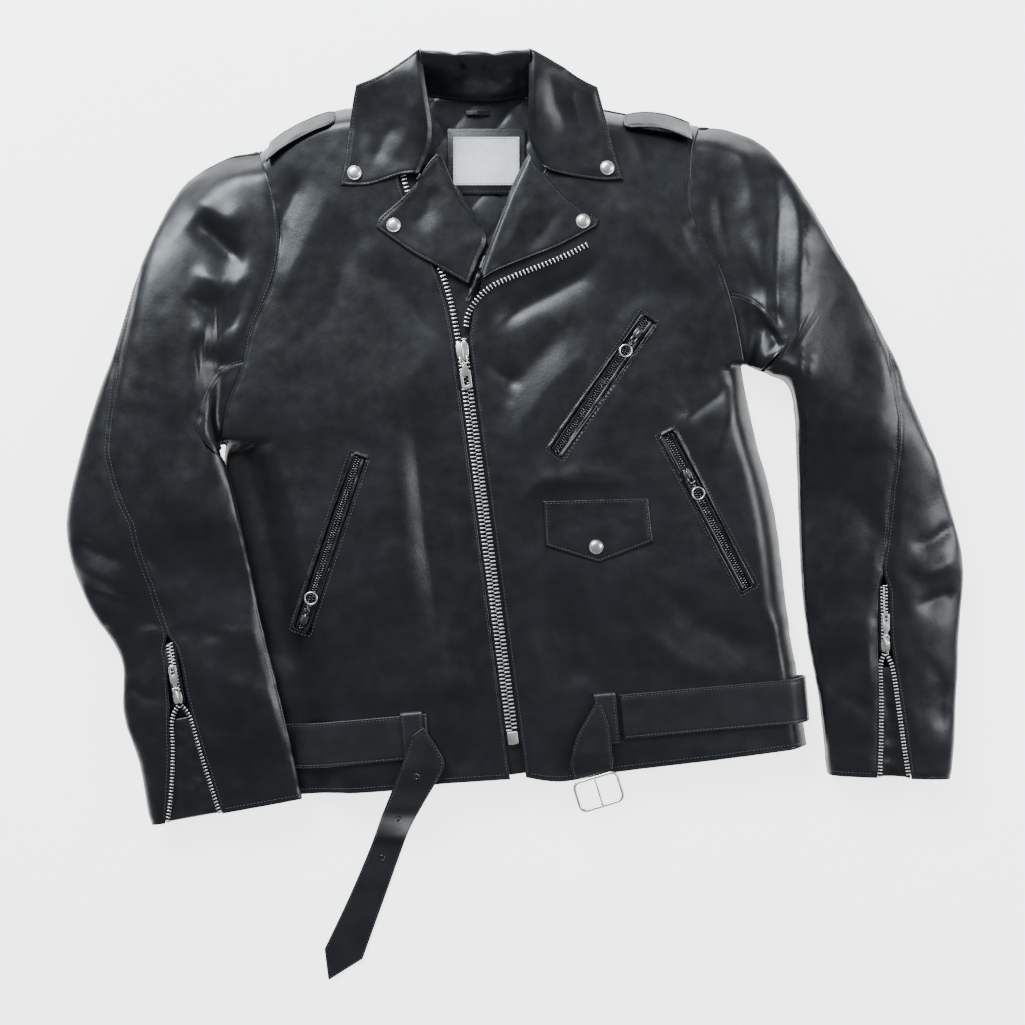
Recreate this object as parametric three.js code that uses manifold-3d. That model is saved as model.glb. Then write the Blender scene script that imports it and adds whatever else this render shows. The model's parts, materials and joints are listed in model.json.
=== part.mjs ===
// A black leather motorcycle jacket with an off-centre front zip, lying closed on its back.
// +Z is up from the surface it lies on, +Y runs from hem to collar and +X is the wearer's left.
// The origin is on the underside of the back, at the middle of the body. Millimetres.
import * as THREE from "three";
import { mergeVertices } from "three/addons/utils/BufferGeometryUtils.js";
import Module from "manifold-3d";

const wasm = await Module();
wasm.setup();

// ---------- driving dimensions ----------
// The pattern is drawn at a base size and graded to these three measures.
const base = { chestWidth: 540, backLength: 686, sleeveLength: 655 };
const chestWidth = 540; // side to side, just under the armholes
const backLength = 686; // neck seam to hem
const sleeveLength = 655; // shoulder point to cuff

const gap = 0.4; // between pieces that rest on each other
const bodyHeight = 30; // surface to the top of the fronts
const tuckedHeight = 13; // top of the fronts where the right sleeve lies on them
const sleeveHeight = 46; // top of a sleeve at the elbow
const cuffHeight = 34; // top of a sleeve round its zip
const rollWidth = 26; // how far the fronts take to curve down to a seam
const shell = 4; // a front: leather, facing and lining together
const backLeather = 2;
const lining = 2.8; // quilted lining of the back
const sleeveWall = 2.6;
const doubled = 3; // collar, lapels and epaulets: two leathers turned together
const flapThickness = 2.2;
const stockThickness = 3; // belt strap
const beltWidth = 45;
const loopWidth = 22;
const snapDiameter = 14.5;
const snapHeight = 2.6;
const zipGap = 15.6; // between the leather edges of the front zip
const chainWidth = 6.4; // one row of teeth on its tape
const chainThickness = 3;
const pocketZipRise = 2.2; // teeth above their tape
const pocketChain = 5; // closed teeth of a pocket or cuff zip
const pocketOpening = 15; // window in the leather
const weltWidth = 4; // leather frame round a pocket window
const weltThickness = 1.6;
const buckleWire = 3.4;

const leather = new THREE.MeshStandardMaterial({ color: 0x111316, roughness: 0.42, metalness: 0 });
const liningCloth = new THREE.MeshStandardMaterial({ color: 0x24272b, roughness: 0.55, metalness: 0 });
const tape = new THREE.MeshStandardMaterial({ color: 0x0b0b0c, roughness: 0.9, metalness: 0 });
const teeth = new THREE.MeshStandardMaterial({ color: 0xc9ccce, roughness: 0.3, metalness: 1 });
const nickel = new THREE.MeshStandardMaterial({ color: 0xd8d4c8, roughness: 0.2, metalness: 1 });
const labelCloth = new THREE.MeshStandardMaterial({ color: 0xdcdcda, roughness: 0.7, metalness: 0 });

// ---------- helpers ----------
const V2 = (x, y) => new THREE.Vector2(x, y);
const V3 = (x, y, z) => new THREE.Vector3(x, y, z);
const clamp = THREE.MathUtils.clamp;
const lerp = THREE.MathUtils.lerp;
const smooth = (x, a, b) => THREE.MathUtils.smoothstep(x, a, b);

const widthGrade = chestWidth / base.chestWidth;
const lengthGrade = backLength / base.backLength;
const sleeveGrade = sleeveLength / base.sleeveLength;
const armpitY = 70;

// A point of the body pattern, and one of a sleeve, which is graded by its own length below the armpit.
const at = (x, y) => V2(x * widthGrade, y * lengthGrade);
const arm = (x, y) =>
  V2(x * widthGrade, y > armpitY ? y * lengthGrade : armpitY * lengthGrade + (y - armpitY) * sleeveGrade);

const spline = (points) => new THREE.SplineCurve(points);
const along = (curve) => (t) => curve.getPointAt(clamp(t, 0, 1));

function joined(...curves) {
  const path = new THREE.CurvePath();
  curves.forEach((c) => path.add(c));
  return path;
}

// A patch between four edges: south and north run along u, west and east along v.
function coons(south, north, west, east) {
  const [sw, se, nw, ne] = [south(0), south(1), north(0), north(1)];
  return (u, v) => {
    const ruled = south(u).multiplyScalar(1 - v).addScaledVector(north(u), v);
    ruled.addScaledVector(west(v), 1 - u).addScaledVector(east(v), u);
    ruled.addScaledVector(sw, -(1 - u) * (1 - v)).addScaledVector(se, -u * (1 - v));
    return ruled.addScaledVector(nw, -(1 - u) * v).addScaledVector(ne, -u * v);
  };
}

// Turns the faces of a closed geometry outwards.
function facingOut(geometry) {
  const p = geometry.attributes.position;
  const index = geometry.index.array;
  const [a, b, c] = [V3(), V3(), V3()];
  let volume = 0;
  for (let i = 0; i < index.length; i += 3) {
    a.fromBufferAttribute(p, index[i]);
    b.fromBufferAttribute(p, index[i + 1]);
    c.fromBufferAttribute(p, index[i + 2]);
    volume += a.dot(b.cross(c));
  }
  if (volume < 0) {
    for (let i = 0; i < index.length; i += 3) {
      [index[i + 1], index[i + 2]] = [index[i + 2], index[i + 1]];
    }
  }
  geometry.computeVertexNormals();
  return geometry;
}

// A closed skin between an upper and a lower surface of (u, v).
function between(upper, lower, nu, nv) {
  const geometry = new THREE.BoxGeometry(1, 1, 1, nu, nv, 1);
  const p = geometry.attributes.position;
  for (let i = 0; i < p.count; i++) {
    const surface = p.getZ(i) > 0 ? upper : lower;
    const q = surface(p.getX(i) + 0.5, p.getY(i) + 0.5);
    p.setXYZ(i, q.x, q.y, q.z);
  }
  return facingOut(geometry);
}

// Steps that crowd towards 1, where a panel curves most, or towards 0.
const crowdEnd = (t) => 1 - Math.pow(1 - t, 1.6);
const crowdStart = (t) => Math.pow(t, 1.6);
const even = (t) => t;

// A panel lying on a height: plan gives its place and top its upper face.
function panel(plan, top, thickness, nu, nv, spreadU = even, spreadV = even) {
  const raised = (drop) => (u, v) => {
    const q = plan(spreadU(u), spreadV(v));
    return V3(q.x, q.y, top(q.x, q.y) - drop);
  };
  return between(raised(0), raised(thickness), nu, nv);
}

// A flat strip along a curve.
function ribbon(curve, width, bottom, top, steps) {
  const side = (z) => (u, v) => {
    const q = curve.getPointAt(u);
    const t = curve.getTangentAt(u);
    return V3(q.x - t.y * width * (v - 0.5), q.y + t.x * width * (v - 0.5), z);
  };
  return between(side(top), side(bottom), steps, 1);
}

// A strap along a path in space, lying on its lower face. across gives its width direction.
function strap(points, width, thickness, across, steps, widthSteps = 1) {
  const path = new THREE.CatmullRomCurve3(points);
  const face = (lift) => (u, v) => {
    const w = across(u).clone().normalize();
    const n = path.getTangentAt(u).cross(w).normalize();
    if (n.z < 0) n.negate();
    return path.getPointAt(u).addScaledVector(w, width * (v - 0.5)).addScaledVector(n, lift);
  };
  return between(face(thickness), face(0), steps, widthSteps);
}

function manifold(geometry) {
  const bare = geometry.clone();
  Object.keys(bare.attributes).forEach((name) => name !== "position" && bare.deleteAttribute(name));
  const merged = mergeVertices(bare, 1e-3);
  const vertProperties = merged.attributes.position.array;
  const triVerts = new Uint32Array(merged.index.array);
  return new wasm.Manifold(new wasm.Mesh({ numProp: 3, vertProperties, triVerts }));
}

function geometryOf(solid) {
  const mesh = solid.getMesh();
  const geometry = new THREE.BufferGeometry();
  geometry.setAttribute("position", new THREE.BufferAttribute(mesh.vertProperties, 3));
  geometry.setIndex(new THREE.BufferAttribute(mesh.triVerts, 1));
  geometry.computeVertexNormals();
  return geometry;
}

const join = (...geometries) => geometryOf(geometries.map(manifold).reduce((a, b) => a.add(b)));
const cut = (geometry, ...tools) =>
  geometryOf(tools.map(manifold).reduce((a, b) => a.subtract(b), manifold(geometry)));

function block(width, length, height, x = 0, y = 0, z = 0) {
  return new THREE.BoxGeometry(width, length, height).translate(x, y, z);
}

// A round bar along X.
function bar(radius, length, x = 0, y = 0, z = 0) {
  return new THREE.CylinderGeometry(radius, radius, length, 12).rotateZ(Math.PI / 2).translate(x, y, z);
}

const jacket = new THREE.Group();

function add(name, geometry, material, parent = jacket) {
  const mesh = new THREE.Mesh(geometry, material);
  mesh.name = name;
  parent.add(mesh);
  return mesh;
}

// A group whose +Y runs from one plan point towards another.
function turned(from, to, z) {
  const group = new THREE.Group();
  group.position.set(from.x, from.y, z);
  group.rotation.z = Math.atan2(from.x - to.x, to.y - from.y);
  jacket.add(group);
  return group;
}

// ---------- outlines of the body ----------
const rightArmhole = spline([
  at(-291, 70), at(-286, 105), at(-272, 140), at(-260, 185),
  at(-242, 225), at(-234, 270), at(-242, 325), at(-257, 363),
]);
const rightSide = spline([at(-303, -287), at(-304, -190), at(-301, -90), at(-296, 10), at(-291, 70)]);
const rightShoulder = spline([at(-257, 363), at(-230, 385), at(-192, 404), at(-158, 411), at(-124, 410)]);
const rightHem = spline([at(-303, -287), at(-210, -285), at(-110, -278), at(-70, -272), at(-10, -269)]);

const leftArmhole = spline([
  at(233, 147), at(227, 180), at(220, 210), at(208, 245), at(198, 260),
  at(187, 280), at(180, 305), at(179, 330), at(182, 370), at(190, 392),
]);
const leftSide = spline([
  at(299, -236), at(295, -210), at(289, -162), at(283, -130), at(278, -90),
  at(270, -20), at(260, 30), at(250, 65), at(240, 110), at(233, 147),
]);
const leftShoulder = spline([at(75, 412), at(95, 407), at(135, 400), at(190, 392)]);
const leftHem = spline([at(14, -267), at(50, -270), at(102, -261), at(190, -250), at(299, -236)]);

// The front zip: straight where it is closed, and parted above zipBreak.
const zipFoot = at(2, -235);
const zipBreak = at(-51, 172);
const zipRun = zipBreak.clone().sub(zipFoot);
const zipLength = zipRun.length();
const zipAlong = zipRun.clone().normalize();
const zipAcross = V2(zipAlong.y, -zipAlong.x);
const zipPoint = (s, off) => zipFoot.clone().addScaledVector(zipAlong, s).addScaledVector(zipAcross, off);

// x of a curve that rises with y, read at a height.
function reader(curve, key, other) {
  const points = curve.getSpacedPoints(60).sort((p, q) => p[key] - q[key]);
  return (value) => {
    const next = points.findIndex((p) => p[key] >= value);
    if (next < 1) return (next ? points[points.length - 1] : points[0])[other];
    const [p, q] = [points[next - 1], points[next]];
    return lerp(p[other], q[other], (value - p[key]) / (q[key] - p[key]));
  };
}
const rightSideX = reader(rightSide, "y", "x");
const leftSideX = reader(leftSide, "y", "x");
const rightShoulderY = reader(rightShoulder, "x", "y");
const leftShoulderY = reader(leftShoulder, "x", "y");

// ---------- outlines of the sleeves ----------
// Each pair of points is one line across the sleeve, from its inner to its outer edge.
const rightSleeveInner = spline([
  arm(-292, 68), arm(-293, 64), arm(-292, 60), arm(-290, 55), arm(-286, 48), arm(-274, 4),
  arm(-263, -50), arm(-251, -110), arm(-236, -170), arm(-221, -235), arm(-210, -287),
]);
const rightSleeveOuter = spline([
  arm(-266, 372), arm(-330, 332), arm(-369, 252), arm(-398, 160), arm(-432, 60), arm(-446, -20),
  arm(-428, -90), arm(-394, -148), arm(-389, -202), arm(-372, -257), arm(-362, -314),
]);
const leftSleeveInner = spline([
  arm(236, 148.3), arm(238.4, 146.9), arm(242, 145), arm(248, 142), arm(260, 137), arm(281, 121),
  arm(287, 50), arm(291, -50), arm(297, -120), arm(310, -190), arm(318, -264),
]);
const leftSleeveOuter = spline([
  arm(193.8, 394.4), arm(249, 375), arm(288, 326), arm(336, 243), arm(379, 160), arm(409, 90),
  arm(438, 16), arm(453, -56), arm(447, -130), arm(445, -200), arm(441, -268),
]);
const rightSleeveX = reader(rightSleeveInner, "y", "x");

// ---------- heights ----------
const seamHeight = backLeather + 2 * gap + shell;
const roll = (distance) =>
  lerp(seamHeight, bodyHeight, Math.sin((Math.PI / 2) * clamp(distance / rollWidth, 0, 1)));

// The right sleeve lies on the body beside its inner edge, and the front is flat under it.
function tucked(x, y) {
  const past = smooth(y, armpitY * lengthGrade - 14, armpitY * lengthGrade + 6);
  const clear = Math.max(smooth(x - rightSleeveX(y), 14, 56), past);
  return lerp(tuckedHeight + backUnder(x, y, beltRamp), bodyHeight, clear);
}

function frontTop(x, y) {
  const sideOn = x < 0 ? y < rightSide.points[4].y : y < leftSide.points[9].y;
  const side = x < 0 ? x - rightSideX(y) : leftSideX(y) - x;
  const shoulderY = x < 0 ? rightShoulderY(x) : leftShoulderY(x);
  const onShoulder = x < rightShoulder.points[4].x || x > leftShoulder.points[0].x;
  return Math.min(
    sideOn ? roll(side) + backUnder(x, y, beltRamp) : bodyHeight,
    onShoulder ? roll(shoulderY - y) : bodyHeight,
    tucked(x, y),
    bodyHeight,
  );
}

// The belt passes behind the back, which is raised over it.
const beltBackLeft = at(-306, -243);
const beltBackRight = at(306, -188);
const beltRise = stockThickness + gap;
function beltMiddle(x) {
  return lerp(beltBackLeft.y, beltBackRight.y, (x - beltBackLeft.x) / (beltBackRight.x - beltBackLeft.x));
}
const beltRamp = 30; // the back comes down to the surface over this length
const backUnder = (x, y, early = 0) => {
  const flat = beltWidth / 2 + 18 + early;
  return beltRise * (1 - smooth(Math.abs(y - beltMiddle(x)), flat, flat + beltRamp));
};

// ---------- body panels ----------
const zipEdge = zipGap / 2;
const hemToZip = -32; // the leather edge carries on below the zip to the hem

// A point beside a plan curve, to the right of its direction.
function beside(curve, t, width) {
  const q = curve.getPointAt(t);
  const d = curve.getTangentAt(t);
  return V2(q.x + d.y * width, q.y - d.x * width);
}

// Above the break the right row of teeth follows the edge of the right front, under its lapel.
const rightZipUpper = spline([
  zipPoint(zipLength, 0), at(-57, 205), at(-64, 230), at(-74, 256), at(-88, 288), at(-101, 320), at(-108, 345),
]);
const rightZipEdge = joined(
  new THREE.LineCurve(zipPoint(hemToZip, -zipEdge), zipPoint(zipLength, -zipEdge)),
  spline([
    zipPoint(zipLength, -zipEdge),
    ...[0.2, 0.4, 0.6, 0.8, 1].map((t) => beside(rightZipUpper, t, -zipEdge)),
    at(-124, 410),
  ]),
);
rightHem.points[4].copy(rightZipEdge.getPoint(0));
const leftZipEdge = joined(
  new THREE.LineCurve(zipPoint(hemToZip, zipEdge), zipPoint(zipLength, zipEdge)),
  spline([
    zipPoint(zipLength, zipEdge), at(-38, 205), at(-29, 238), at(-10, 275),
    at(12, 310), at(34, 345), at(44, 380), at(75, 412),
  ]),
);
leftHem.points[0].copy(leftZipEdge.getPoint(0));

const rightOuter = joined(rightSide, rightArmhole);
const leftOuter = joined(leftSide, leftArmhole);
const rightFrontPlan = coons(along(rightHem), along(rightShoulder), along(rightOuter), along(rightZipEdge));
const leftFrontPlan = coons(along(leftHem), along(leftShoulder), along(leftZipEdge), along(leftOuter));

// A pocket lies in a window of the front: its middle, direction and size, and where its slider stands.
const pockets = {
  right_hand_pocket: { foot: at(-211, -118), head: at(-153, 56), slider: 12 },
  chest_pocket: { foot: at(44, 59), head: at(136, 194), slider: 144 },
  left_hand_pocket: { foot: at(236, -76), head: at(154, 78), slider: 128 },
};

function pocketTool(pocket) {
  const length = pocket.foot.distanceTo(pocket.head);
  const tool = block(pocketOpening, length, 40, 0, length / 2, 0);
  tool.rotateZ(Math.atan2(pocket.foot.x - pocket.head.x, pocket.head.y - pocket.foot.y));
  return tool.translate(pocket.foot.x, pocket.foot.y, bodyHeight);
}

function addBody() {
  const right = panel(rightFrontPlan, frontTop, shell, 12, 20, crowdStart, crowdEnd);
  add("right_front_panel", cut(right, pocketTool(pockets.right_hand_pocket)), leather);
  const left = panel(leftFrontPlan, frontTop, shell, 12, 20, crowdEnd, crowdEnd);
  const windows = [pocketTool(pockets.chest_pocket), pocketTool(pockets.left_hand_pocket)];
  add("left_front_panel", cut(left, ...windows), leather);

  const backHem = spline([rightHem.points[0], rightHem.points[2], at(0, -266), leftHem.points[3], leftHem.points[4]]);
  const backTop = spline([
    rightShoulder.points[0], rightShoulder.points[2], at(-124, 412), at(-84, 430),
    at(-30, 434), at(24, 430), at(75, 414), leftShoulder.points[3],
  ]);
  const backPlan = coons(along(backHem), along(backTop), along(rightOuter), along(leftOuter));
  add("back_panel", panel(backPlan, (x, y) => backUnder(x, y) + backLeather, backLeather, 10, 26), leather);
  const inset = (u, v) => backPlan(lerp(0.04, 0.96, u), lerp(0.02, 0.985, v));
  const liningTop = (x, y) => backUnder(x, y, beltRamp) + backLeather + gap + lining;
  add("back_lining", panel(inset, liningTop, lining, 8, 22), liningCloth);
}

// The underlap lies behind the zip and widens above it to the roll of the right lapel.
const sliderUnderplate = 0.7;
const underlapTop = bodyHeight - shell - 0.5;
function addUnderlap() {
  const south = along(new THREE.LineCurve(zipPoint(hemToZip + 4, -12), zipPoint(hemToZip + 4, 14)));
  const west = along(joined(
    new THREE.LineCurve(zipPoint(hemToZip + 4, -12), zipPoint(zipLength - 6, -12)),
    spline([zipPoint(zipLength - 6, -12), at(-76, 215), at(-92, 262), at(-112, 310), at(-120, 348)]),
  ));
  const east = along(joined(
    new THREE.LineCurve(zipPoint(hemToZip + 4, 14), zipPoint(zipLength - 20, 14)),
    spline([zipPoint(zipLength - 20, 14), at(-28, 200), at(-23, 240), at(-26, 276), at(-50, 318), at(-74, 350)]),
  ));
  const north = along(new THREE.LineCurve(at(-120, 348), at(-74, 350)));
  add("front_underlap", panel(coons(south, north, west, east), () => underlapTop, 2, 3, 20), leather);
}

// ---------- sleeves ----------
const squareness = 3.4; // power of the rounded section
// v of the sleeve seam at each line, for the edge of the front piece and of the back piece
const rightSeam = {
  front: [1, 1, 1, 0.97, 0.87, 0.69, 0.655, 0.66, 0.61, 0.585, 0.515],
  back: [1, 1, 1, 0.97, 0.87, 0.69, 0.665, 0.74, 0.73, 0.815, 0.9],
};
const leftSeam = {
  front: [1, 1, 1, 1, 0.985, 0.87, 0.675, 0.49, 0.476, 0.422, 0.374],
  back: [1, 1, 1, 1, 0.985, 0.87, 0.675, 0.56, 0.57, 0.6, 0.66],
};
const sleeveLines = 24; // steps along a sleeve
const gussetLines = 8; // of them, those beside the gusset
const gussetEnd = gussetLines / sleeveLines;
const gussetReach = 0.27;
const seamTurn = 0.9996; // where the two pieces of a sleeve meet along its inner edge

function seamAt(list, u) {
  const i = Math.min(Math.floor(u * (list.length - 1)), list.length - 2);
  return lerp(list[i], list[i + 1], u * (list.length - 1) - i);
}

// The surface under the right sleeve: the body and belt where it lies on them, and the floor beside them.
function rightSupport(x, y) {
  const overBody = smooth(x - rightSideX(y), -70, -36);
  const below = 1 - smooth(y, armpitY * lengthGrade - 6, armpitY * lengthGrade + 10);
  return (tuckedHeight + beltRise + stockThickness + 4 * gap) * overBody * below;
}

// A sleeve between its two edges. Its head follows the armhole, moved to where the edges start.
function sleeveOf(inner, outer, armhole, support) {
  const cap = (v) => armhole.getPointAt(clamp(v, 0, 1));
  const edge = (curve) => (u) => curve.getPoint(clamp(u, 0, 1));
  const cuff = (v) => edge(inner)(1).lerp(edge(outer)(1), v);
  const innerMiss = edge(inner)(0).sub(cap(0));
  const outerMiss = edge(outer)(0).sub(cap(1));
  const head = (v) => cap(v).addScaledVector(innerMiss, 1 - v).addScaledVector(outerMiss, v);
  const plan = coons(edge(inner), edge(outer), head, cuff);
  const top = (u) =>
    lerp(lerp(bodyHeight + 1, sleeveHeight, smooth(u, 0.02, 0.3)), cuffHeight, smooth(u, 0.5, 0.66));
  // turn runs over the top from the inner edge (1) to the outer edge (0) and back underneath (-1)
  const surface = (u, turn, inset) => {
    const angle = turn * Math.PI;
    const rounded = (q) => Math.sign(q) * Math.pow(Math.abs(q), 2 / squareness);
    const halfWidth = plan(u, 0).distanceTo(plan(u, 1)) / 2;
    const side = rounded(Math.cos(angle)) * (1 - inset / Math.max(halfWidth, 8));
    const q = plan(u, 0.5 + side / 2);
    const low = support(q.x, q.y) + inset;
    return V3(q.x, q.y, lerp(low, top(u) - inset, 0.5 + rounded(Math.sin(angle)) / 2));
  };
  return { plan, surface };
}

// The turn at which the top of the section reaches v.
const turnOf = (v) => {
  const side = clamp(2 * v - 1, -1, 1);
  return Math.min(Math.acos(Math.sign(side) * Math.pow(Math.abs(side), squareness / 2)) / Math.PI, seamTurn);
};

function addSleeve(side, sleeve, seam) {
  const piece = (from, to, end, nu, nv) => {
    const layer = (inset) => (a, b) => sleeve.surface(end * a, lerp(from(end * a), to(end * a), b), inset);
    return between(layer(0), layer(sleeveWall), nu, nv);
  };
  const slack = 0.006; // of the width, kept at each side of a seam
  const low = (u) => turnOf(u < gussetEnd + 0.5 / sleeveLines ? gussetReach + slack : 0);
  const front = piece(low, (u) => turnOf(seamAt(seam.front, u) - slack), 1, sleeveLines, 5);
  add(side + "_sleeve_front", front, leather);
  const back = piece((u) => turnOf(seamAt(seam.back, u) + slack), () => -seamTurn, 1, sleeveLines, 10);
  add(side + "_sleeve_back", back, leather);
  const gussetStop = gussetEnd - 0.5 / sleeveLines;
  const gusset = piece(() => seamTurn, () => turnOf(gussetReach - slack), gussetStop, gussetLines, 3);
  add(side + "_underarm_gusset", gusset, leather);
}

const sleeves = {
  right: sleeveOf(rightSleeveInner, rightSleeveOuter, rightArmhole, rightSupport),
  left: sleeveOf(leftSleeveInner, leftSleeveOuter, leftArmhole, () => 0),
};
const seams = { right: rightSeam, left: leftSeam };

// ---------- collar and lapels ----------
const layer1 = bodyHeight + gap; // what lies straight on the fronts
const collarPeak = 58; // roll of the collar behind the neck
const rightRoll = [at(-90, 458), at(-78, 380)]; // fold line of the right collar leaf
const leftRoll = [at(15.5, 458), at(15.5, 380)];

function addCollar() {
  const rest = layer1 + doubled;
  // a leaf falls from its fold line to the front it lies on
  const leafTop = (foldX) => (x, y) => {
    const out = smooth(Math.abs(x - foldX), 0, 62);
    const fold = lerp(rest + 4, collarPeak - 4, smooth(y, 340 * lengthGrade, 440 * lengthGrade));
    return lerp(fold, rest, out * (1 - 0.45 * smooth(y, 375 * lengthGrade, 440 * lengthGrade)));
  };
  const rightLeaf = coons(
    along(spline([at(-171, 326), at(-144, 326), at(-112, 336), at(-93, 337)])),
    along(spline([at(-155, 424), at(-130, 434), at(-105, 448), at(-90.6, 458)])),
    along(spline([at(-171, 326), at(-166, 357), at(-160, 400), at(-155, 424)])),
    along(spline([at(-93, 337), at(-82, 362), at(-79, 382), at(-84.5, 417), at(-90.6, 458)])),
  );
  add("right_collar_leaf", panel(rightLeaf, leafTop(rightRoll[1].x), doubled, 5, 8), leather);
  const leftLeaf = coons(
    along(spline([at(30, 345), at(45, 338), at(88, 331), at(111, 332)])),
    along(spline([at(16, 458), at(48, 442), at(68, 430), at(85, 422)])),
    along(spline([at(30, 345), at(18, 367), at(16.6, 385), at(16.4, 420), at(16, 458)])),
    along(spline([at(111, 332), at(106, 350), at(98, 378), at(85, 422)])),
  );
  add("left_collar_leaf", panel(leftLeaf, leafTop(leftRoll[1].x), doubled, 5, 8), leather);

  // the stand rises from the neck seam, rolls over and falls behind
  const profile = new THREE.CatmullRomCurve3([
    V3(0, 420 * lengthGrade, 7), V3(0, 433 * lengthGrade, 34), V3(0, 446 * lengthGrade, collarPeak - 4),
    V3(0, 454 * lengthGrade, collarPeak - 3), V3(0, 460 * lengthGrade, 34), V3(0, 463 * lengthGrade, 4),
  ]);
  const seamX = (y, rollLine, clear) =>
    rollLine[1].x + ((rollLine[0].x - rollLine[1].x) * (y - rollLine[1].y)) / (rollLine[0].y - rollLine[1].y) + clear;
  const stand = (lift) => (u, v) => {
    const q = profile.getPointAt(v);
    const t = profile.getTangentAt(v);
    const x = lerp(seamX(q.y, rightRoll, 1.4), seamX(q.y, leftRoll, -0.4), u);
    const bow = 5 * Math.sin(Math.PI * u) * (1 - v); // the neck seam curves into the back
    return V3(x, q.y - t.z * lift - bow, q.z + t.y * lift);
  };
  add("collar_stand", between(stand(doubled), stand(0), 6, 12), leather);
}

function addLapels() {
  const top = () => layer1 + doubled;
  const right = coons(
    along(spline([at(-136, 284), at(-102, 260), at(-77, 246), at(-42, 226)])),
    along(spline([at(-92, 333), at(-86, 345), at(-80, 353), at(-72, 361)])),
    along(spline([at(-136, 284), at(-132, 294), at(-117, 307), at(-102, 321), at(-92, 333)])),
    along(spline([at(-42, 226), at(-34, 250), at(-25, 272), at(-33, 290), at(-49, 312), at(-60, 332), at(-72, 361)])),
  );
  add("right_lapel", panel(right, top, doubled, 5, 8), leather);
  const left = coons(
    along(spline([at(-45, 208), at(-40, 222), at(-27, 234), at(-12, 242), at(18, 254), at(48, 266), at(84, 285)])),
    along(spline([at(17, 360), at(23, 347), at(33, 337), at(48, 320), at(63, 307), at(87, 293)])),
    along(spline([at(-45, 208), at(-35, 232), at(-28, 252), at(-20, 274), at(-4, 317), at(10, 347), at(17, 360)])),
    along(new THREE.LineCurve(at(84, 285), at(87, 293))),
  );
  add("left_lapel", panel(left, top, doubled, 7, 7), leather);
}

// A shoulder strap lies against the slope of the shoulder; its open end can stand off it.
const epauletWidth = 34;
function addEpaulet(name, shoulder, fromX, toX, arch) {
  const onSlope = rollWidth / 2;
  const slope = Math.SQRT1_2;
  const points = [0, 0.25, 0.5, 0.75, 1].map((t) => {
    const x = lerp(fromX, toX, t);
    const off = gap + 0.1 + arch * Math.sin(Math.PI * t);
    return V3(x, shoulder(x) - onSlope + off * slope, roll(onSlope) + off * slope);
  });
  const path = new THREE.CatmullRomCurve3(points);
  const across = V3(0, -slope, slope);
  const face = (lift) => (u, v) => {
    const q = path.getPointAt(u).addScaledVector(across, epauletWidth * (v - 0.5) * lerp(1, 0.8, u));
    return q.add(V3(0, lift * slope, lift * slope));
  };
  add(name, between(face(doubled), face(0), 8, 1), leather);
}

// ---------- snaps ----------
function addSnap(name, place, seat) {
  const r = snapDiameter / 2;
  const profile = [V2(0, 0), V2(r * 0.86, 0), V2(r, 0.7), V2(r * 0.93, 1.5), V2(r * 0.6, 2.3), V2(0, snapHeight)];
  const cap = new THREE.LatheGeometry(profile, 20).rotateX(Math.PI / 2);
  const snap = add(name, cap, nickel);
  snap.position.set(place.x, place.y, seat);
  return snap;
}

// ---------- zips ----------
const slot = 1.2; // between the two rows of teeth
const zipTop = bodyHeight;
const zipUnder = zipTop - chainThickness;
const zipStart = 16; // teeth begin this far above the foot
const sliderRest = zipLength - 11;

function chain(curve, offset, heightAt, steps) {
  const side = (drop) => (u, v) => {
    const q = curve.getPointAt(u);
    const t = curve.getTangentAt(u);
    const w = offset + chainWidth * (v - 0.5);
    return V3(q.x + t.y * w, q.y - t.x * w, heightAt(u) - drop);
  };
  return between(side(0), side(chainThickness), steps, 1);
}

// A knuckle along X with a hole for the bar of a slider, then what hangs from it along -Y.
function knuckle(width) {
  return cut(bar(2.3, width), bar(1.35, width + 2));
}

function sliderBail(reach, width, top) {
  const ear = (x) => block(1.4, 7, 4.6, x, -reach + 1.5, top + 1.6);
  const half = width / 2 + 1.3;
  return [ear(-half), ear(half), bar(0.85, 2 * half + 0.6, 0, -reach - 0.9, top + 2)];
}

function addMainZip() {
  const foot = zipPoint(zipStart, 0);
  const rightPath = joined(
    new THREE.LineCurve(foot, zipPoint(zipLength, 0)),
    rightZipUpper,
  );
  add("main_zip_right_chain", chain(rightPath, -(slot + chainWidth) / 2, () => zipTop, 18), teeth);
  const leftPath = new THREE.LineCurve(foot, zipPoint(zipLength + 4, 0));
  add("main_zip_left_chain", chain(leftPath, (slot + chainWidth) / 2, () => zipTop, 6), teeth);
  const upper = spline([
    at(-46.5, 184), at(-45, 196), at(-39, 208), at(-26, 222), at(-10, 231), at(20, 243), at(50, 255), at(76, 268),
  ]);
  add("main_zip_left_upper_chain", chain(upper, 0, () => layer1 + chainThickness, 12), teeth);

  const box = add("main_zip_box", block(11, 13, 4.6, 0, 0, 0), nickel);
  const boxAt = zipPoint(zipStart - 0.4 - 6.5, 0);
  box.position.set(boxAt.x, boxAt.y, zipUnder - 0.4 + 2.3);
  box.rotation.z = Math.atan2(-zipAlong.x, zipAlong.y);

  const slider = join(
    block(12.6, 20, 2, 0, 0, zipTop + gap + 1),
    block(12.6, 16, sliderUnderplate, 0, 0, zipUnder - gap - sliderUnderplate / 2),
    block(0.5, 12, chainThickness + 2.8, 0, 0, zipTop - chainThickness / 2),
    ...sliderBail(12, 5, zipTop + gap + 1),
  );
  const frame = turned(zipPoint(sliderRest, 0), zipPoint(zipLength + 50, 0), 0);
  add("main_zip_slider", slider, nickel, frame);
  const pull = join(knuckle(5), block(5, 6, 1.8, 0, -4.6, 0), block(11, 19, 1.8, 0, -16.4, 0));
  add("main_zip_pull", pull, nickel, frame).position.set(0, -12.9, zipTop + gap + 3);
}

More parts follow.
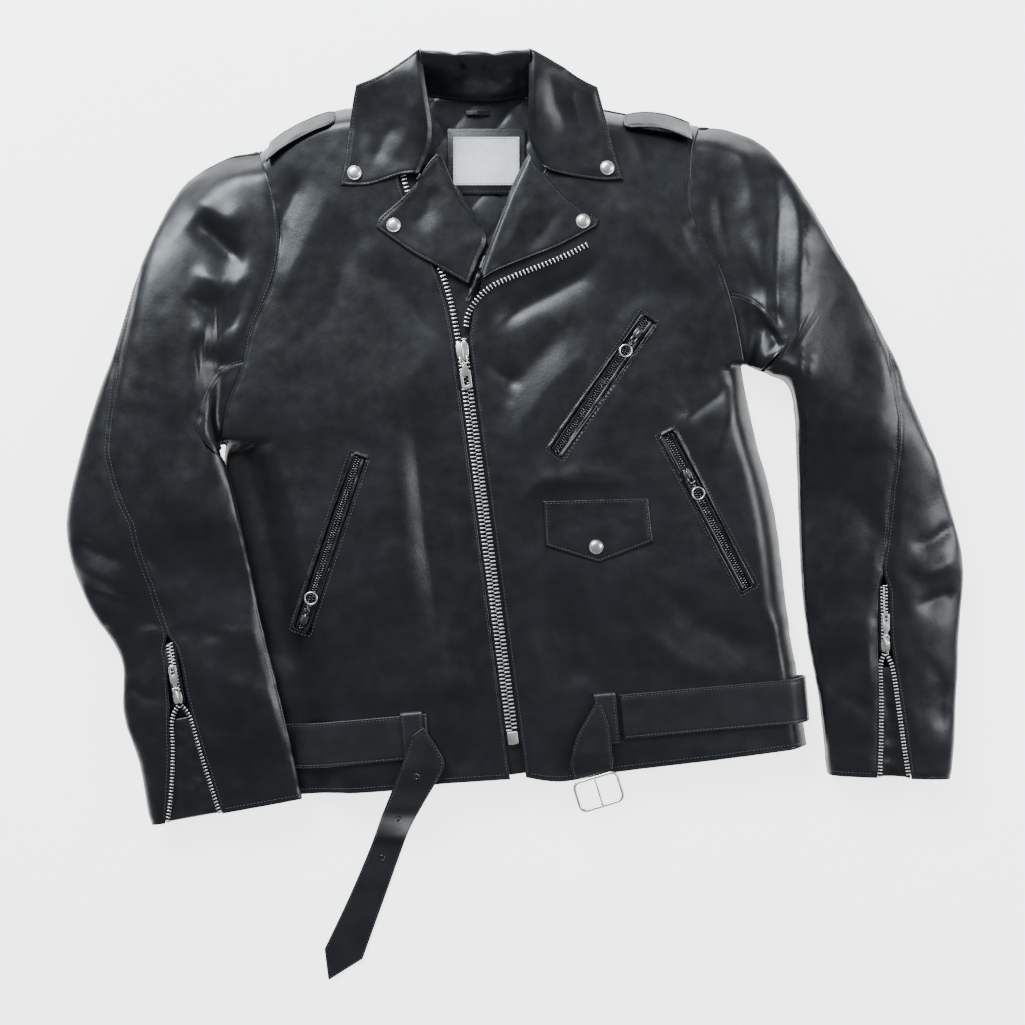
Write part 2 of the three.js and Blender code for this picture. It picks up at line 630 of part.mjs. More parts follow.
// A closed zip on its tape: a raised row of teeth that the slider straddles.
function zipStrip(width, length) {
  return join(
    block(width, length, 1.2, 0, length / 2, 0.6),
    block(pocketChain, length, pocketZipRise + 0.6, 0, length / 2, 0.6 + (pocketZipRise + 0.6) / 2),
  );
}

// A slider straddling a closed row of teeth, and its ring pull. Both point along -Y from the slider.
function zipSlider() {
  const top = 1.2 + pocketZipRise + gap;
  const low = 2.7; // its sides end above the leather edges
  const body = cut(
    block(9.4, 13, top + 1.8 - low, 0, 0, (top + 1.8 + low) / 2),
    block(pocketChain + 0.9, 15, top, 0, 0, top / 2),
  );
  return join(body, ...sliderBail(8.4, 3.6, top + 0.6));
}

function ringPull(stem, radius) {
  const r = radius - 1.2;
  const section = [V2(r, -0.9), V2(radius + 1.2, -0.9), V2(radius + 1.2, 0.9), V2(r, 0.9), V2(r, -0.9)];
  const ring = new THREE.LatheGeometry(section, 16).rotateX(Math.PI / 2).translate(0, -stem - radius, 0);
  return join(knuckle(3.6), block(2.6, stem, 1.8, 0, -stem / 2 - 1.6, 0), ring);
}

function addZipSlider(name, frame, along, facing, makePull) {
  const mount = new THREE.Group();
  mount.position.y = along;
  mount.rotation.z = facing;
  frame.add(mount);
  add(name + "_slider", zipSlider(), nickel, mount);
  add(name + "_pull", makePull(), nickel, mount).position.set(0, -9.3, 1.2 + pocketZipRise + gap + 2.6);
}

const weltSeat = bodyHeight + gap;
function addPocket(name, pocket) {
  const length = pocket.foot.distanceTo(pocket.head);
  const welt = cut(
    block(pocketOpening + 2 * weltWidth, length + 2 * weltWidth, weltThickness, 0, length / 2, weltThickness / 2),
    block(pocketOpening, length, 9, 0, length / 2, 0),
  );
  const frame = turned(pocket.foot, pocket.head, 0);
  add(name + "_welt", welt, leather, frame).position.z = weltSeat;
  const strip = new THREE.Group();
  strip.position.set(0, gap, bodyHeight - 1.4);
  frame.add(strip);
  add(name + "_zip", zipStrip(pocketOpening - 2 * gap, length - 2 * gap), teeth, strip);
  const facing = pocket.slider > length / 2 ? 0 : Math.PI;
  addZipSlider(name, strip, pocket.slider, facing, () => ringPull(6, 6));
}

function addCoinFlap() {
  const outline = new THREE.Shape([at(31, 11), at(136, 14), at(141, -30), at(87, -51), at(33, -34)].reverse());
  const flap = new THREE.ExtrudeGeometry(outline, { depth: flapThickness, bevelEnabled: false });
  add("coin_pocket_flap", flap, leather).position.z = layer1;
}

// ---------- cuffs ----------
const cuffSeat = cuffHeight - sleeveWall; // underside of the leather round a cuff zip
const rowInset = 2.9; // from the leather edge to the middle of an open row of teeth
const cuffSliderLine = { right: 0.8, left: 0.82 };
const cuffZipTop = { right: 0.69, left: 0.725 };

function addCuff(side) {
  const { plan } = sleeves[side];
  const seam = seams[side];
  const from = cuffSliderLine[side];
  const edge = (list, inset) => {
    const points = [0.12, 0.4, 0.7, 0.985].map((t) => {
      const u = lerp(from, 1, t);
      return plan(u, seamAt(list, u) + inset / plan(u, 0).distanceTo(plan(u, 1)));
    });
    return points;
  };
  const middle = (u) => plan(u, (seamAt(seam.front, u) + seamAt(seam.back, u)) / 2);
  const junction = middle(from);
  const top = middle(cuffZipTop[side]);
  const z = cuffSeat + 0.2;
  const row = (list, inset) => {
    const curve = spline([junction, ...edge(list, inset)]);
    return ribbon(curve, 4.2, z, z + 2.2, 8);
  };
  const length = junction.distanceTo(top);
  const angle = Math.atan2(junction.x - top.x, top.y - junction.y);
  const closed = zipStrip(8, length).rotateZ(angle).translate(junction.x, junction.y, z);
  add(side + "_cuff_zip", join(closed, row(seam.front, rowInset), row(seam.back, -rowInset)), teeth);

  const frame = turned(junction, top, z);
  addZipSlider(side + "_cuff", frame, 7, Math.PI, () =>
    join(knuckle(3.6), block(3.6, 5, 1.6, 0, -4, 0), block(8, 17, 1.6, 0, -14.4, 0)));

  const [rowA, rowB] = [spline(edge(seam.front, rowInset)), spline(edge(seam.back, -rowInset))];
  const under = (drop) => (u, v) => {
    const q = rowA.getPoint(v).lerp(rowB.getPoint(v), u);
    return V3(q.x, q.y, z - gap - drop - 5 * Math.sin(Math.PI * u) * v);
  };
  add(side + "_cuff_gusset", between(under(0), under(1.4), 6, 6), leather);
}

// ---------- belt ----------
const loopAt = { right: at(-98.5, -225), left: at(94.5, -206) };
const beltSlope = 0.09;

function addBelt() {
  const on = layer1;
  const leftX = leftSideX(beltBackRight.y) + 3;
  const rightX = rightSideX(beltBackLeft.y) - 4.5;
  const backZ = stockThickness;
  const slope = (from, to, x) => lerp(from.y, to.y, (x - from.x) / (to.x - from.x));
  const l = (x, z) => V3(x, slope(loopAt.left, V2(leftX, beltBackRight.y), x), z);
  const r = (x, z) => V3(x, slope(loopAt.right, V2(rightX, beltBackLeft.y), x), z);
  const tuck = tuckedHeight + beltRise + 2 * gap;
  const past = loopWidth / 2 + 4; // the band comes this far out of each loop
  const path = new THREE.CatmullRomCurve3([
    l(loopAt.left.x - past, on), l(leftX - 150, on), l(leftX - 80, on), l(leftX - 32, on), l(leftX - 14, on - 0.6),
    l(leftX - 3.4, 23), l(leftX + 1, 14), l(leftX + 1.2, 8), l(leftX + 0.9, 4.6), l(leftX - 0.6, backZ + 0.1),
    l(leftX - 5, backZ), l(leftX - 14, backZ), l(leftX - 60, backZ), V3(0, beltMiddle(0), backZ),
    r(rightX + 60, backZ), r(rightX + 14, backZ), r(rightX + 5, backZ), r(rightX + 0.6, backZ + 0.1),
    r(rightX - 0.9, 4.6), r(rightX - 1.2, 8), r(rightX - 0.8, 13), r(rightX + 4, tuck), r(rightX + 30, tuck),
    r(rightX + 66, tuck), r(rightX + 88, tuck + 0.4), r(rightX + 106, on - 4), r(rightX + 124, on + 0.2),
    r(rightX + 140, on), r(loopAt.right.x + past, on),
  ], false, "centripetal");
  const across = V3(-beltSlope, 1, 0).normalize();
  const face = (lift) => (u, v) => {
    const n = path.getTangent(u).cross(across).normalize();
    return path.getPoint(u).addScaledVector(across, beltWidth * (v - 0.5)).addScaledVector(n, lift);
  };
  add("belt_band", between(face(stockThickness), face(0), 3 * (path.points.length - 1), 1), leather);

  // each end turns down over its loop; the free end falls over the hem to the surface
  const loopTop = on + stockThickness + 2 * gap + 2;
  const onFront = on + stockThickness;
  const onLoop = loopTop + gap + stockThickness;
  const tailTop = (x, y) => Math.min(
    lerp(onFront, onLoop, smooth(y, -278 * lengthGrade, -254 * lengthGrade)),
    lerp(stockThickness, onFront, smooth(y, -340 * lengthGrade, -292 * lengthGrade))
      + (y > -292 * lengthGrade ? onLoop : 0),
  );
  const tail = coons(
    along(joined(
      new THREE.LineCurve(at(-191, -445), at(-187, -477)),
      new THREE.LineCurve(at(-187, -477), at(-152, -455)),
    )),
    along(new THREE.LineCurve(at(-99, -222), at(-88, -214))),
    along(spline([at(-191, -445), at(-165, -390), at(-143, -338), at(-128, -298), at(-112, -258), at(-99, -222)])),
    along(spline([
      at(-152, -455), at(-128, -388), at(-107, -330), at(-91, -296), at(-72, -263), at(-68, -246), at(-88, -214),
    ])),
  );
  add("belt_tail", panel(tail, tailTop, stockThickness, 4, 22), leather);

  const endTop = (x, y) => lerp(onFront, onLoop, smooth(y, -262 * lengthGrade, -238 * lengthGrade));
  const end = coons(
    along(new THREE.LineCurve(at(62, -268), at(100, -257))),
    along(new THREE.LineCurve(at(84, -188), at(89, -191))),
    along(spline([at(62, -268), at(58, -250), at(63, -226), at(73, -207), at(84, -188)])),
    along(spline([at(100, -257), at(101, -248), at(100, -240), at(97, -215), at(89, -191)])),
  );
  add("belt_buckle_end", panel(end, endTop, stockThickness, 3, 10), leather);

  const half = beltWidth / 2 + 1;
  Object.entries(loopAt).forEach(([side, place]) => {
    const loop = cut(
      block(loopWidth, 2 * (half + 3), stockThickness + 2 * gap + 2, 0, 0, (stockThickness + 2 * gap + 2) / 2),
      block(loopWidth + 2, 2 * half, stockThickness + 2 * gap, 0, 0, (stockThickness + 2 * gap) / 2 - 0.01),
    );
    const mesh = add(side + "_belt_loop", loop, leather);
    mesh.position.set(place.x, place.y, layer1);
    mesh.rotation.z = Math.atan(beltSlope);
  });
}

function addBuckle() {
  const pinHeight = buckleWire * Math.SQRT1_2 + 0.25; // the bar clears the front as it turns
  const frame = turned(at(81, -261), at(74, -238), layer1 + pinHeight - gap);
  const [w, h] = [48, 33];
  const ring = new THREE.Shape();
  const corner = 9;
  const rounded = (shape, hw, lo, hi, r) => {
    shape.absarc(hw - r, hi - r, r, 0, Math.PI / 2).absarc(-hw + r, hi - r, r, Math.PI / 2, Math.PI);
    shape.absarc(-hw + r, lo + r, r, Math.PI, 1.5 * Math.PI).absarc(hw - r, lo + r, r, 1.5 * Math.PI, 2 * Math.PI);
  };
  rounded(ring, w / 2, -h, 0, corner);
  const hole = new THREE.Path();
  rounded(hole, w / 2 - buckleWire, -h + buckleWire, -buckleWire, corner - buckleWire);
  ring.holes.push(hole);
  const geometry = new THREE.ExtrudeGeometry(ring, { depth: buckleWire, bevelEnabled: false, curveSegments: 5 });
  geometry.translate(0, -2.45, -buckleWire / 2);
  add("buckle_frame", geometry, nickel, frame);
  const prong = block(3, 29, 2, 0, -20.65, 0);
  add("buckle_prong", prong, nickel, frame).position.z = buckleWire / 2 + gap + 1;
}

// ---------- label and hanger ----------
function addLabel() {
  const seat = backLeather + gap + lining + gap;
  const middle = at(-26, 356);
  const patch = add("label_patch", block(80, 67, 1.4), leather);
  patch.position.set(middle.x, middle.y, seat + 0.7);
  const label = add("label", block(67, 49, 0.6), labelCloth);
  label.position.set(middle.x, middle.y, seat + 1.4 + gap + 0.3);
  const loop = strap(
    [V3(-47, 0, 0), V3(-40, 0, 1.4), V3(-35, 0, 2), V3(-30, 0, 1.4), V3(-23, 0, 0)].map((p) =>
      V3(p.x * widthGrade, 405 * lengthGrade, seat + p.z)),
    6, 1.2, () => V3(0, 1, 0), 8);
  add("hanger_loop", loop, leather);
}

// ---------- assembly ----------
addBody();
addUnderlap();
Object.keys(sleeves).forEach((side) => addSleeve(side, sleeves[side], seams[side]));
addCollar();
addLapels();
addEpaulet("right_epaulet", rightShoulderY, -246 * widthGrade, -178 * widthGrade, 0);
addEpaulet("left_epaulet", leftShoulderY, 180 * widthGrade, 112 * widthGrade, 7);
const snapSeat = layer1 + doubled + gap;
addSnap("right_collar_snap", at(-157, 338), snapSeat + 0.6);
addSnap("left_collar_snap", at(95, 343), snapSeat + 0.6);
addSnap("right_lapel_snap", at(-118, 286), snapSeat);
addSnap("left_lapel_snap", at(71, 290), snapSeat);
addSnap("coin_flap_snap", at(84, -35), layer1 + flapThickness + gap);
addLabel();
addMainZip();
Object.entries(pockets).forEach(([name, pocket]) => addPocket(name, pocket));
addCoinFlap();
["right", "left"].forEach(addCuff);
addBelt();
addBuckle();

export default jacket;
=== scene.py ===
import json
import math

import bmesh
import bpy
import numpy as np
from mathutils import Matrix, Vector

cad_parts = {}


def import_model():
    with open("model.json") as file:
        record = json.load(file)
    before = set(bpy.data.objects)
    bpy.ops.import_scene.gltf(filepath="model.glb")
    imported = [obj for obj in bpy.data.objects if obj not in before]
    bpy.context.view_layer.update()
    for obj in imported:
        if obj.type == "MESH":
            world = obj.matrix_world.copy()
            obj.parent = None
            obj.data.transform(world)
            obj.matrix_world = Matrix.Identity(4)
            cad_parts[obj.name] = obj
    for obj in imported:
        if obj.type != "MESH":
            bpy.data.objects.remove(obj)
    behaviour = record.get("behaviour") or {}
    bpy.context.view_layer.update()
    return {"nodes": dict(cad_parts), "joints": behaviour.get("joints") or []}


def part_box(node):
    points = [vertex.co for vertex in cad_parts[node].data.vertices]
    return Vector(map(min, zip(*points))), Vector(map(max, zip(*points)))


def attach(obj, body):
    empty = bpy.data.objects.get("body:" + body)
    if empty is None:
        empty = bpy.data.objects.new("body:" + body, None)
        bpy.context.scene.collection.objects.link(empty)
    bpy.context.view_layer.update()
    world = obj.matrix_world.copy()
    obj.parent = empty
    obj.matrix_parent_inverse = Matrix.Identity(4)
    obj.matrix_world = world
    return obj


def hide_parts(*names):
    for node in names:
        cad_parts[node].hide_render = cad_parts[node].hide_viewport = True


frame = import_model()
print("frame loaded:", len(frame["nodes"]), "nodes")

# Lengths are in millimetres until a mesh is finished, and +Z is up from the surface the jacket lies on.
mm = 0.001
scene = bpy.context.scene


# --- curves and surfaces as arrays of points ---

def smooth(x, low, high):
    t = np.clip((x - low) / (high - low), 0, 1)
    return t * t * (3 - 2 * t)


def mix(a, b, t):
    return a + (b - a) * t


def catmull(points, each=12):
    p = np.array(points, float)
    held = np.vstack([p[:1], p, p[-1:]])
    t = np.linspace(0, 1, each, endpoint=False)[:, None]
    spans = []
    for i in range(len(p) - 1):
        a, b, c, d = held[i:i + 4]
        v0, v1 = (c - a) / 2, (d - b) / 2
        spans.append((2 * b - 2 * c + v0 + v1) * t ** 3 + (3 * c - 3 * b - 2 * v0 - v1) * t ** 2 + v0 * t + b)
    return np.vstack(spans + [p[-1:]])


def distances(line):
    return np.concatenate([[0], np.cumsum(np.linalg.norm(np.diff(line, axis=0), axis=1))])


def reader(line, reach):
    return lambda t: np.stack([np.interp(t, reach, line[:, k]) for k in range(line.shape[1])], -1)


def byLength(line):
    run = distances(line)
    return reader(line, run / run[-1])


def byKnot(line):
    return reader(line, np.linspace(0, 1, len(line)))


# A patch between four edges: south and north run along u, west and east along v.
def coons(south, north, west, east):
    sw, se, nw, ne = south(0.0), south(1.0), north(0.0), north(1.0)

    def plan(u, v):
        a, b = np.asarray(u, float)[..., None], np.asarray(v, float)[..., None]
        ruled = (1 - b) * south(u) + b * north(u) + (1 - a) * west(v) + a * east(v)
        return ruled - (1 - a) * (1 - b) * sw - a * (1 - b) * se - (1 - a) * b * nw - a * b * ne
    return plan


def resample(line, step):
    line = np.array(line, float)
    run = distances(line)
    count = max(2, int(round(run[-1] / step)) + 1)
    return reader(line, run)(np.linspace(0, run[-1], count))


def offset(line, width):
    line = np.array(line, float)
    d = np.gradient(line[:, :2], axis=0)
    d /= np.linalg.norm(d, axis=1)[:, None]
    out = line.copy()
    out[:, 0] += d[:, 1] * width
    out[:, 1] -= d[:, 0] * width
    return out


# Distance to a line, which side of it (+1 on its left) and how far along it.
def nearLine(x, y, line):
    best = np.full(np.shape(x), 1e9)
    side, run, start = np.ones_like(best), np.zeros_like(best), 0.0
    for a, b in zip(line[:-1], line[1:]):
        dx, dy = b[0] - a[0], b[1] - a[1]
        length = math.hypot(dx, dy)
        t = np.clip(((x - a[0]) * dx + (y - a[1]) * dy) / length ** 2, 0, 1)
        px, py = x - a[0] - t * dx, y - a[1] - t * dy
        d = np.hypot(px, py)
        closer = d < best
        best = np.where(closer, d, best)
        side = np.where(closer, np.sign(dx * py - dy * px), side)
        run = np.where(closer, start + t * length, run)
        start += length
    return best, side, run, start


noiseTable = np.random.default_rng(11).normal(size=(128, 128))


def softNoise(x, y, size, seed=0):
    gx, gy = np.asarray(x) / size + 31.7 * seed + 500, np.asarray(y) / size + 17.3 * seed + 500
    ix, iy = np.floor(gx).astype(int), np.floor(gy).astype(int)
    fx, fy = gx - ix, gy - iy
    fx, fy = fx ** 3 * (fx * (fx * 6 - 15) + 10), fy ** 3 * (fy * (fy * 6 - 15) + 10)
    ix, iy = ix % 127, iy % 127
    low = mix(noiseTable[ix, iy], noiseTable[ix + 1, iy], fx)
    high = mix(noiseTable[ix, iy + 1], noiseTable[ix + 1, iy + 1], fx)
    return mix(low, high, fy)


# A fold in leather: one line, how deep, and how far it spreads to its left and right.
def fold(x, y, line, depth, left, right, power=1.6, tail=0.3):
    d, side, run, total = nearLine(x, y, line)
    width = np.where(side > 0, left, right)
    share = run / total
    fade = smooth(share, 0, tail) * (1 - smooth(share, 1 - tail, 1))
    return depth * np.exp(-(d / width) ** power) * fade


def foldsOf(x, y, folds):
    return sum(fold(x, y, *one) for one in folds)


def creases(x, y, seed, broad=1.3, middle=0.42, small=0.1):
    return (broad * softNoise(x, y, 82, seed) + middle * softNoise(x, y, 34, seed + 3)
            + small * softNoise(x, y, 12, seed + 5))


# --- making meshes ---

edgeSteps = (0, 0.35, 0.9, 1.7, 2.5, 3.3, 4.2, 5.6, 7.6)
rollSteps = (0, 0.3, 0.8, 1.6, 2.6, 4, 6, 8.5, 11.5, 14.5, 18, 22, 26)


def stops(width, step, low=edgeSteps, high=edgeSteps):
    first, last = list(low), [width - d for d in reversed(high)]
    count = max(2, round((last[0] - first[-1]) / step))
    middle = np.linspace(first[-1], last[0], count + 1)[1:-1]
    return np.concatenate([first, middle, last]) / width


def turnedEdge(border, radius):
    k = np.clip(1 - border / radius, 0, 1)
    return -radius * (1 - np.sqrt(1 - k * k))


def normalsOf(grid, facing):
    n = np.cross(np.gradient(grid, axis=0), np.gradient(grid, axis=1))
    n /= np.maximum(np.linalg.norm(n, axis=2), 1e-9)[..., None]
    flip = np.sign(n[..., 2].mean()) * facing < 0
    return (-n if flip else n), flip


def borderOf(grid, open_=""):
    found = []
    for axis, name in ((0, "u"), (1, "v")):
        steps = np.linalg.norm(np.diff(grid, axis=axis), axis=2)
        pad = [(1, 0), (0, 0)] if axis == 0 else [(0, 0), (1, 0)]
        run = np.pad(np.cumsum(steps, axis=axis), pad)
        total = run[-1:, :] if axis == 0 else run[:, -1:]
        if name + "0" not in open_:
            found.append(run)
        if name + "1" not in open_:
            found.append(total - run)
    return np.minimum.reduce(found)


def finished(bm, name, material, body, replaces=(), sharp=None):
    mesh = bpy.data.meshes.new(name)
    bmesh.ops.scale(bm, vec=(mm, mm, mm), verts=bm.verts)
    bm.to_mesh(mesh)
    bm.free()
    mesh.polygons.foreach_set("use_smooth", [True] * len(mesh.polygons))
    if sharp:
        mesh.set_sharp_from_angle(angle=math.radians(sharp))
    return placed(mesh, name, material, body, replaces)


def placed(mesh, name, material, body, replaces=()):
    piece = bpy.data.objects.new(name, mesh)
    scene.collection.objects.link(piece)
    piece.data.materials.clear()
    piece.data.materials.append(material)
    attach(piece, body)
    if replaces:
        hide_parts(*replaces)
    return piece


# A sewn panel: a grid laid on a surface, lifted along its normals, with turned edges and a thickness.
def skin(name, spec, place, detail, material, body, replaces, windows=()):
    us, vs = spec["us"], spec["vs"]
    u, v = np.meshgrid(us, vs, indexing="ij")
    base = place(u, v)
    normals, flip = normalsOf(base, spec.get("facing", 1))
    border = borderOf(base, spec.get("open", ""))
    lift = detail(base, border, normals) + turnedEdge(border, spec.get("edge", 1.3))
    surface = base + normals * lift[..., None]
    surface[..., 2] = np.maximum(surface[..., 2], 0.15)
    bm = bmesh.new()
    bmesh.ops.create_grid(bm, x_segments=len(us) - 1, y_segments=len(vs) - 1, size=0.5)
    for vert in bm.verts:
        i, j = round((vert.co.x + 0.5) * (len(us) - 1)), round((vert.co.y + 0.5) * (len(vs) - 1))
        vert.co = surface[i, j]
    if flip:
        bmesh.ops.reverse_faces(bm, faces=bm.faces)
    for window in windows:
        cutWindow(bm, *window)
    piece = finished(bm, name, material, body, replaces)
    wall = piece.modifiers.new("wall", "SOLIDIFY")
    wall.thickness, wall.offset = spec["wall"] * mm, -1
    return surface


# Opens a slanted rectangular window in a panel, from its foot to its head.
def cutWindow(bm, foot, head, width):
    foot, head = Vector((*foot, 0)), Vector((*head, 0))
    along = (head - foot).normalized()
    across = Vector((along.y, -along.x, 0))
    middle, half = (foot + head) / 2, (head - foot).length / 2
    for co, no in ((foot, along), (head, along), (middle - across * width / 2, across),
                   (middle + across * width / 2, across)):
        faces = [f for f in bm.faces
                 if abs((f.calc_center_median() - middle).dot(along)) < half + 9
                 and abs((f.calc_center_median() - middle).dot(across)) < width / 2 + 9]
        geom = list({g for f in faces for g in (f, *f.edges, *f.verts)})
        bmesh.ops.bisect_plane(bm, geom=geom, plane_co=co, plane_no=no)
    inside = [f for f in bm.faces
              if abs((f.calc_center_median() - middle).dot(along)) < half - 0.01
              and abs((f.calc_center_median() - middle).dot(across)) < width / 2 - 0.01]
    bmesh.ops.delete(bm, geom=inside, context="FACES")


# The line at a distance inside one border of a laid surface, where stitches run.
def edgeRun(surface, side, distance, ends=(0, 0)):
    grid = surface if side[0] == "v" else surface.transpose(1, 0, 2)
    grid = grid[:, ::-1] if side[1] == "1" else grid
    steps = np.linalg.norm(np.diff(grid, axis=1), axis=2)
    reach = np.pad(np.cumsum(steps, axis=1), [(0, 0), (1, 0)])
    line = np.array([[np.interp(distance, reach[i],
                                grid[i, :, k]) for k in range(3)] for i in range(len(grid))])
    run = distances(line)
    keep = np.linspace(ends[0], run[-1] - ends[1], max(2, len(line)))
    return reader(line, run)(keep)


def frameAt(origin, forward, up=(0, 0, 1)):
    y = Vector(forward).normalized()
    x = y.cross(Vector(up)).normalized()
    found = Matrix((x, y, x.cross(y))).transposed().to_4x4()
    found.translation = Vector(origin)
    return found


# Copies one small mesh, made at the origin, to many places and joins them in one piece.
def copies(name, source, places, material, body, replaces=()):
    co = np.array([v.co for v in source.verts])
    faces = [[v.index for v in f.verts] for f in source.faces]
    source.free()
    turns = np.array([np.array(m) for m in places])
    points = np.einsum("nij,kj->nki", turns[:, :3, :3], co) + turns[:, None, :3, 3]
    mesh = bpy.data.meshes.new(name)
    everyFace = [[i + n * len(co) for i in f] for n in range(len(places)) for f in faces]
    mesh.from_pydata(points.reshape(-1, 3) * mm, [], everyFace)
    mesh.polygons.foreach_set("use_smooth", [True] * len(mesh.polygons))
    mesh.set_sharp_from_angle(angle=math.radians(50))
    return placed(mesh, name, material, body, replaces)


def alongLine(line, pitch, lift=0.0, phase=0.5):
    line = np.array(line, float)
    if line.shape[1] == 2:
        line = np.column_stack([line, np.zeros(len(line))])
    run = distances(line)
    at = np.arange(pitch * phase, run[-1], pitch)
    read = reader(line, run)
    ahead, behind = read(np.minimum(at + 0.6, run[-1])), read(np.maximum(at - 0.6, 0))
    return [frameAt(p + np.array([0, 0, lift]), f) for p, f in zip(read(at), ahead - behind)]


stitch = {"pitch": 3.5, "length": 2.5, "thick": 0.62}


def sewOn(name, lines, body):
    bm = bmesh.new()
    bmesh.ops.create_uvsphere(bm, u_segments=6, v_segments=4, radius=0.5)
    bmesh.ops.rotate(bm, verts=bm.verts, matrix=Matrix.Rotation(math.pi / 2, 3, "X"))
    bmesh.ops.scale(bm, vec=(stitch["thick"], stitch["length"], stitch["thick"]), verts=bm.verts)
    bm.verts.index_update()
    places = [p for line in lines for p in alongLine(line, stitch["pitch"], 0.08)]
    return copies(name, bm, places, thread, body)


# A round wire, ring or cord of thread along points.
def wire(name, points, radius, material, body, replaces=(), closed=False, sides=3):
    mesh = wireMesh(points, radius, closed, sides)
    return placed(mesh, name, material, body, replaces)


def wireMesh(points, radius, closed=False, sides=3):
    curve = bpy.data.curves.new("wire", "CURVE")
    curve.dimensions, curve.bevel_depth, curve.bevel_resolution = "3D", radius * mm, sides
    curve.use_fill_caps = not closed
    spline = curve.splines.new("POLY")
    spline.points.add(len(points) - 1)
    for point, q in zip(spline.points, points):
        point.co = (q[0] * mm, q[1] * mm, q[2] * mm, 1)
    spline.use_cyclic_u = closed
    holder = bpy.data.objects.new("wire", curve)
    scene.collection.objects.link(holder)
    mesh = bpy.data.meshes.new_from_object(holder.evaluated_get(bpy.context.evaluated_depsgraph_get()))
    bpy.data.objects.remove(holder)
    mesh.polygons.foreach_set("use_smooth", [True] * len(mesh.polygons))
    return mesh


# A plate from a plan outline, with rounded edges. It lies from z 0 up, in its own frame.
def plate(outline, thickness, round_=0.4, segments=2, holes=()):
    bm = bmesh.new()
    loop = [bm.verts.new((*q, 0)) for q in outline]
    if holes:
        edges = [bm.edges.new((loop[i - 1], loop[i])) for i in range(len(loop))]
        for hole in holes:
            ring = [bm.verts.new((*q, 0)) for q in hole]
            edges += [bm.edges.new((ring[i - 1], ring[i])) for i in range(len(ring))]
        bmesh.ops.triangle_fill(bm, edges=edges, use_beauty=True)
    else:
        bm.faces.new(loop)
    bmesh.ops.recalc_face_normals(bm, faces=bm.faces)
    extruded = bmesh.ops.extrude_face_region(bm, geom=bm.faces[:])
    top = [g for g in extruded["geom"] if isinstance(g, bmesh.types.BMVert)]
    bmesh.ops.translate(bm, vec=(0, 0, thickness), verts=top)
    bmesh.ops.recalc_face_normals(bm, faces=bm.faces)
    rims = [e for e in bm.edges if len(e.link_faces) == 2 and e.calc_face_angle() > 1]
    bmesh.ops.bevel(bm, geom=rims, offset=round_, offset_type="OFFSET", segments=segments, profile=0.5,
                    affect="EDGES", material=-1)
    return bm


def roundedBox(width, length, corner, each=4):
    found = []
    for cx, cy, start in ((1, 1, 0), (-1, 1, 90), (-1, -1, 180), (1, -1, 270)):
        for k in range(each + 1):
            a = math.radians(start + 90 * k / each)
            found.append((cx * (width / 2 - corner) + corner * math.cos(a),
                          cy * (length / 2 - corner) + corner * math.sin(a)))
    return found


# --- materials ---

def noiseNode(nodes, links, scale, detail=4.0, rough=0.55):
    where = nodes.new("ShaderNodeTexCoord")
    noise = nodes.new("ShaderNodeTexNoise")
    noise.inputs["Scale"].default_value = scale
    noise.inputs["Detail"].default_value = detail
    noise.inputs["Roughness"].default_value = rough
    links.new(where.outputs["Object"], noise.inputs["Vector"])
    return noise


def shaded(name, low, high, toneScale, rough, bumps, metallic=0.0, specular=0.5, coat=0.0, coatRough=0.2,
           sheen=0.0, toneSpread=(0.35, 0.65), roughScale=60):
    material = bpy.data.materials.new(name)
    material.use_nodes = True
    nodes, links = material.node_tree.nodes, material.node_tree.links
    shader = nodes["Principled BSDF"]
    tone = nodes.new("ShaderNodeValToRGB")
    tone.color_ramp.elements[0].position, tone.color_ramp.elements[1].position = toneSpread
    tone.color_ramp.elements[0].color, tone.color_ramp.elements[1].color = (*low, 1), (*high, 1)
    links.new(noiseNode(nodes, links, toneScale).outputs["Fac"], tone.inputs["Fac"])
    links.new(tone.outputs["Color"], shader.inputs["Base Color"])
    spread = nodes.new("ShaderNodeMapRange")
    spread.inputs["From Min"].default_value, spread.inputs["From Max"].default_value = 0.3, 0.7
    spread.inputs["To Min"].default_value, spread.inputs["To Max"].default_value = rough
    links.new(noiseNode(nodes, links, roughScale, 5).outputs["Fac"], spread.inputs["Value"])
    links.new(spread.outputs["Result"], shader.inputs["Roughness"])
    shader.inputs["Metallic"].default_value = metallic
    shader.inputs["Specular IOR Level"].default_value = specular
    shader.inputs["Coat Weight"].default_value = coat
    shader.inputs["Coat Roughness"].default_value = coatRough
    shader.inputs["Sheen Weight"].default_value = sheen
    normal = None
    for kind, scale, strength, depth in bumps:
        bump = nodes.new("ShaderNodeBump")
        bump.inputs["Strength"].default_value = strength
        bump.inputs["Distance"].default_value = depth * mm
        if kind == "cells":
            where = nodes.new("ShaderNodeTexCoord")
            cells = nodes.new("ShaderNodeTexVoronoi")
            cells.feature = "DISTANCE_TO_EDGE"
            cells.inputs["Scale"].default_value = scale
            links.new(where.outputs["Object"], cells.inputs["Vector"])
            height = cells.outputs["Distance"]
        elif kind == "weave":
            where = nodes.new("ShaderNodeTexCoord")
            weave = nodes.new("ShaderNodeTexWave")
            weave.bands_direction = "DIAGONAL"
            weave.inputs["Scale"].default_value = scale
            weave.inputs["Distortion"].default_value = 1.5
            links.new(where.outputs["Object"], weave.inputs["Vector"])
            height = weave.outputs["Fac"]
        else:
            height = noiseNode(nodes, links, scale, 6).outputs["Fac"]
        links.new(height, bump.inputs["Height"])
        if normal:
            links.new(normal, bump.inputs["Normal"])
        normal = bump.outputs["Normal"]
    if normal:
        links.new(normal, shader.inputs["Normal"])
    return material


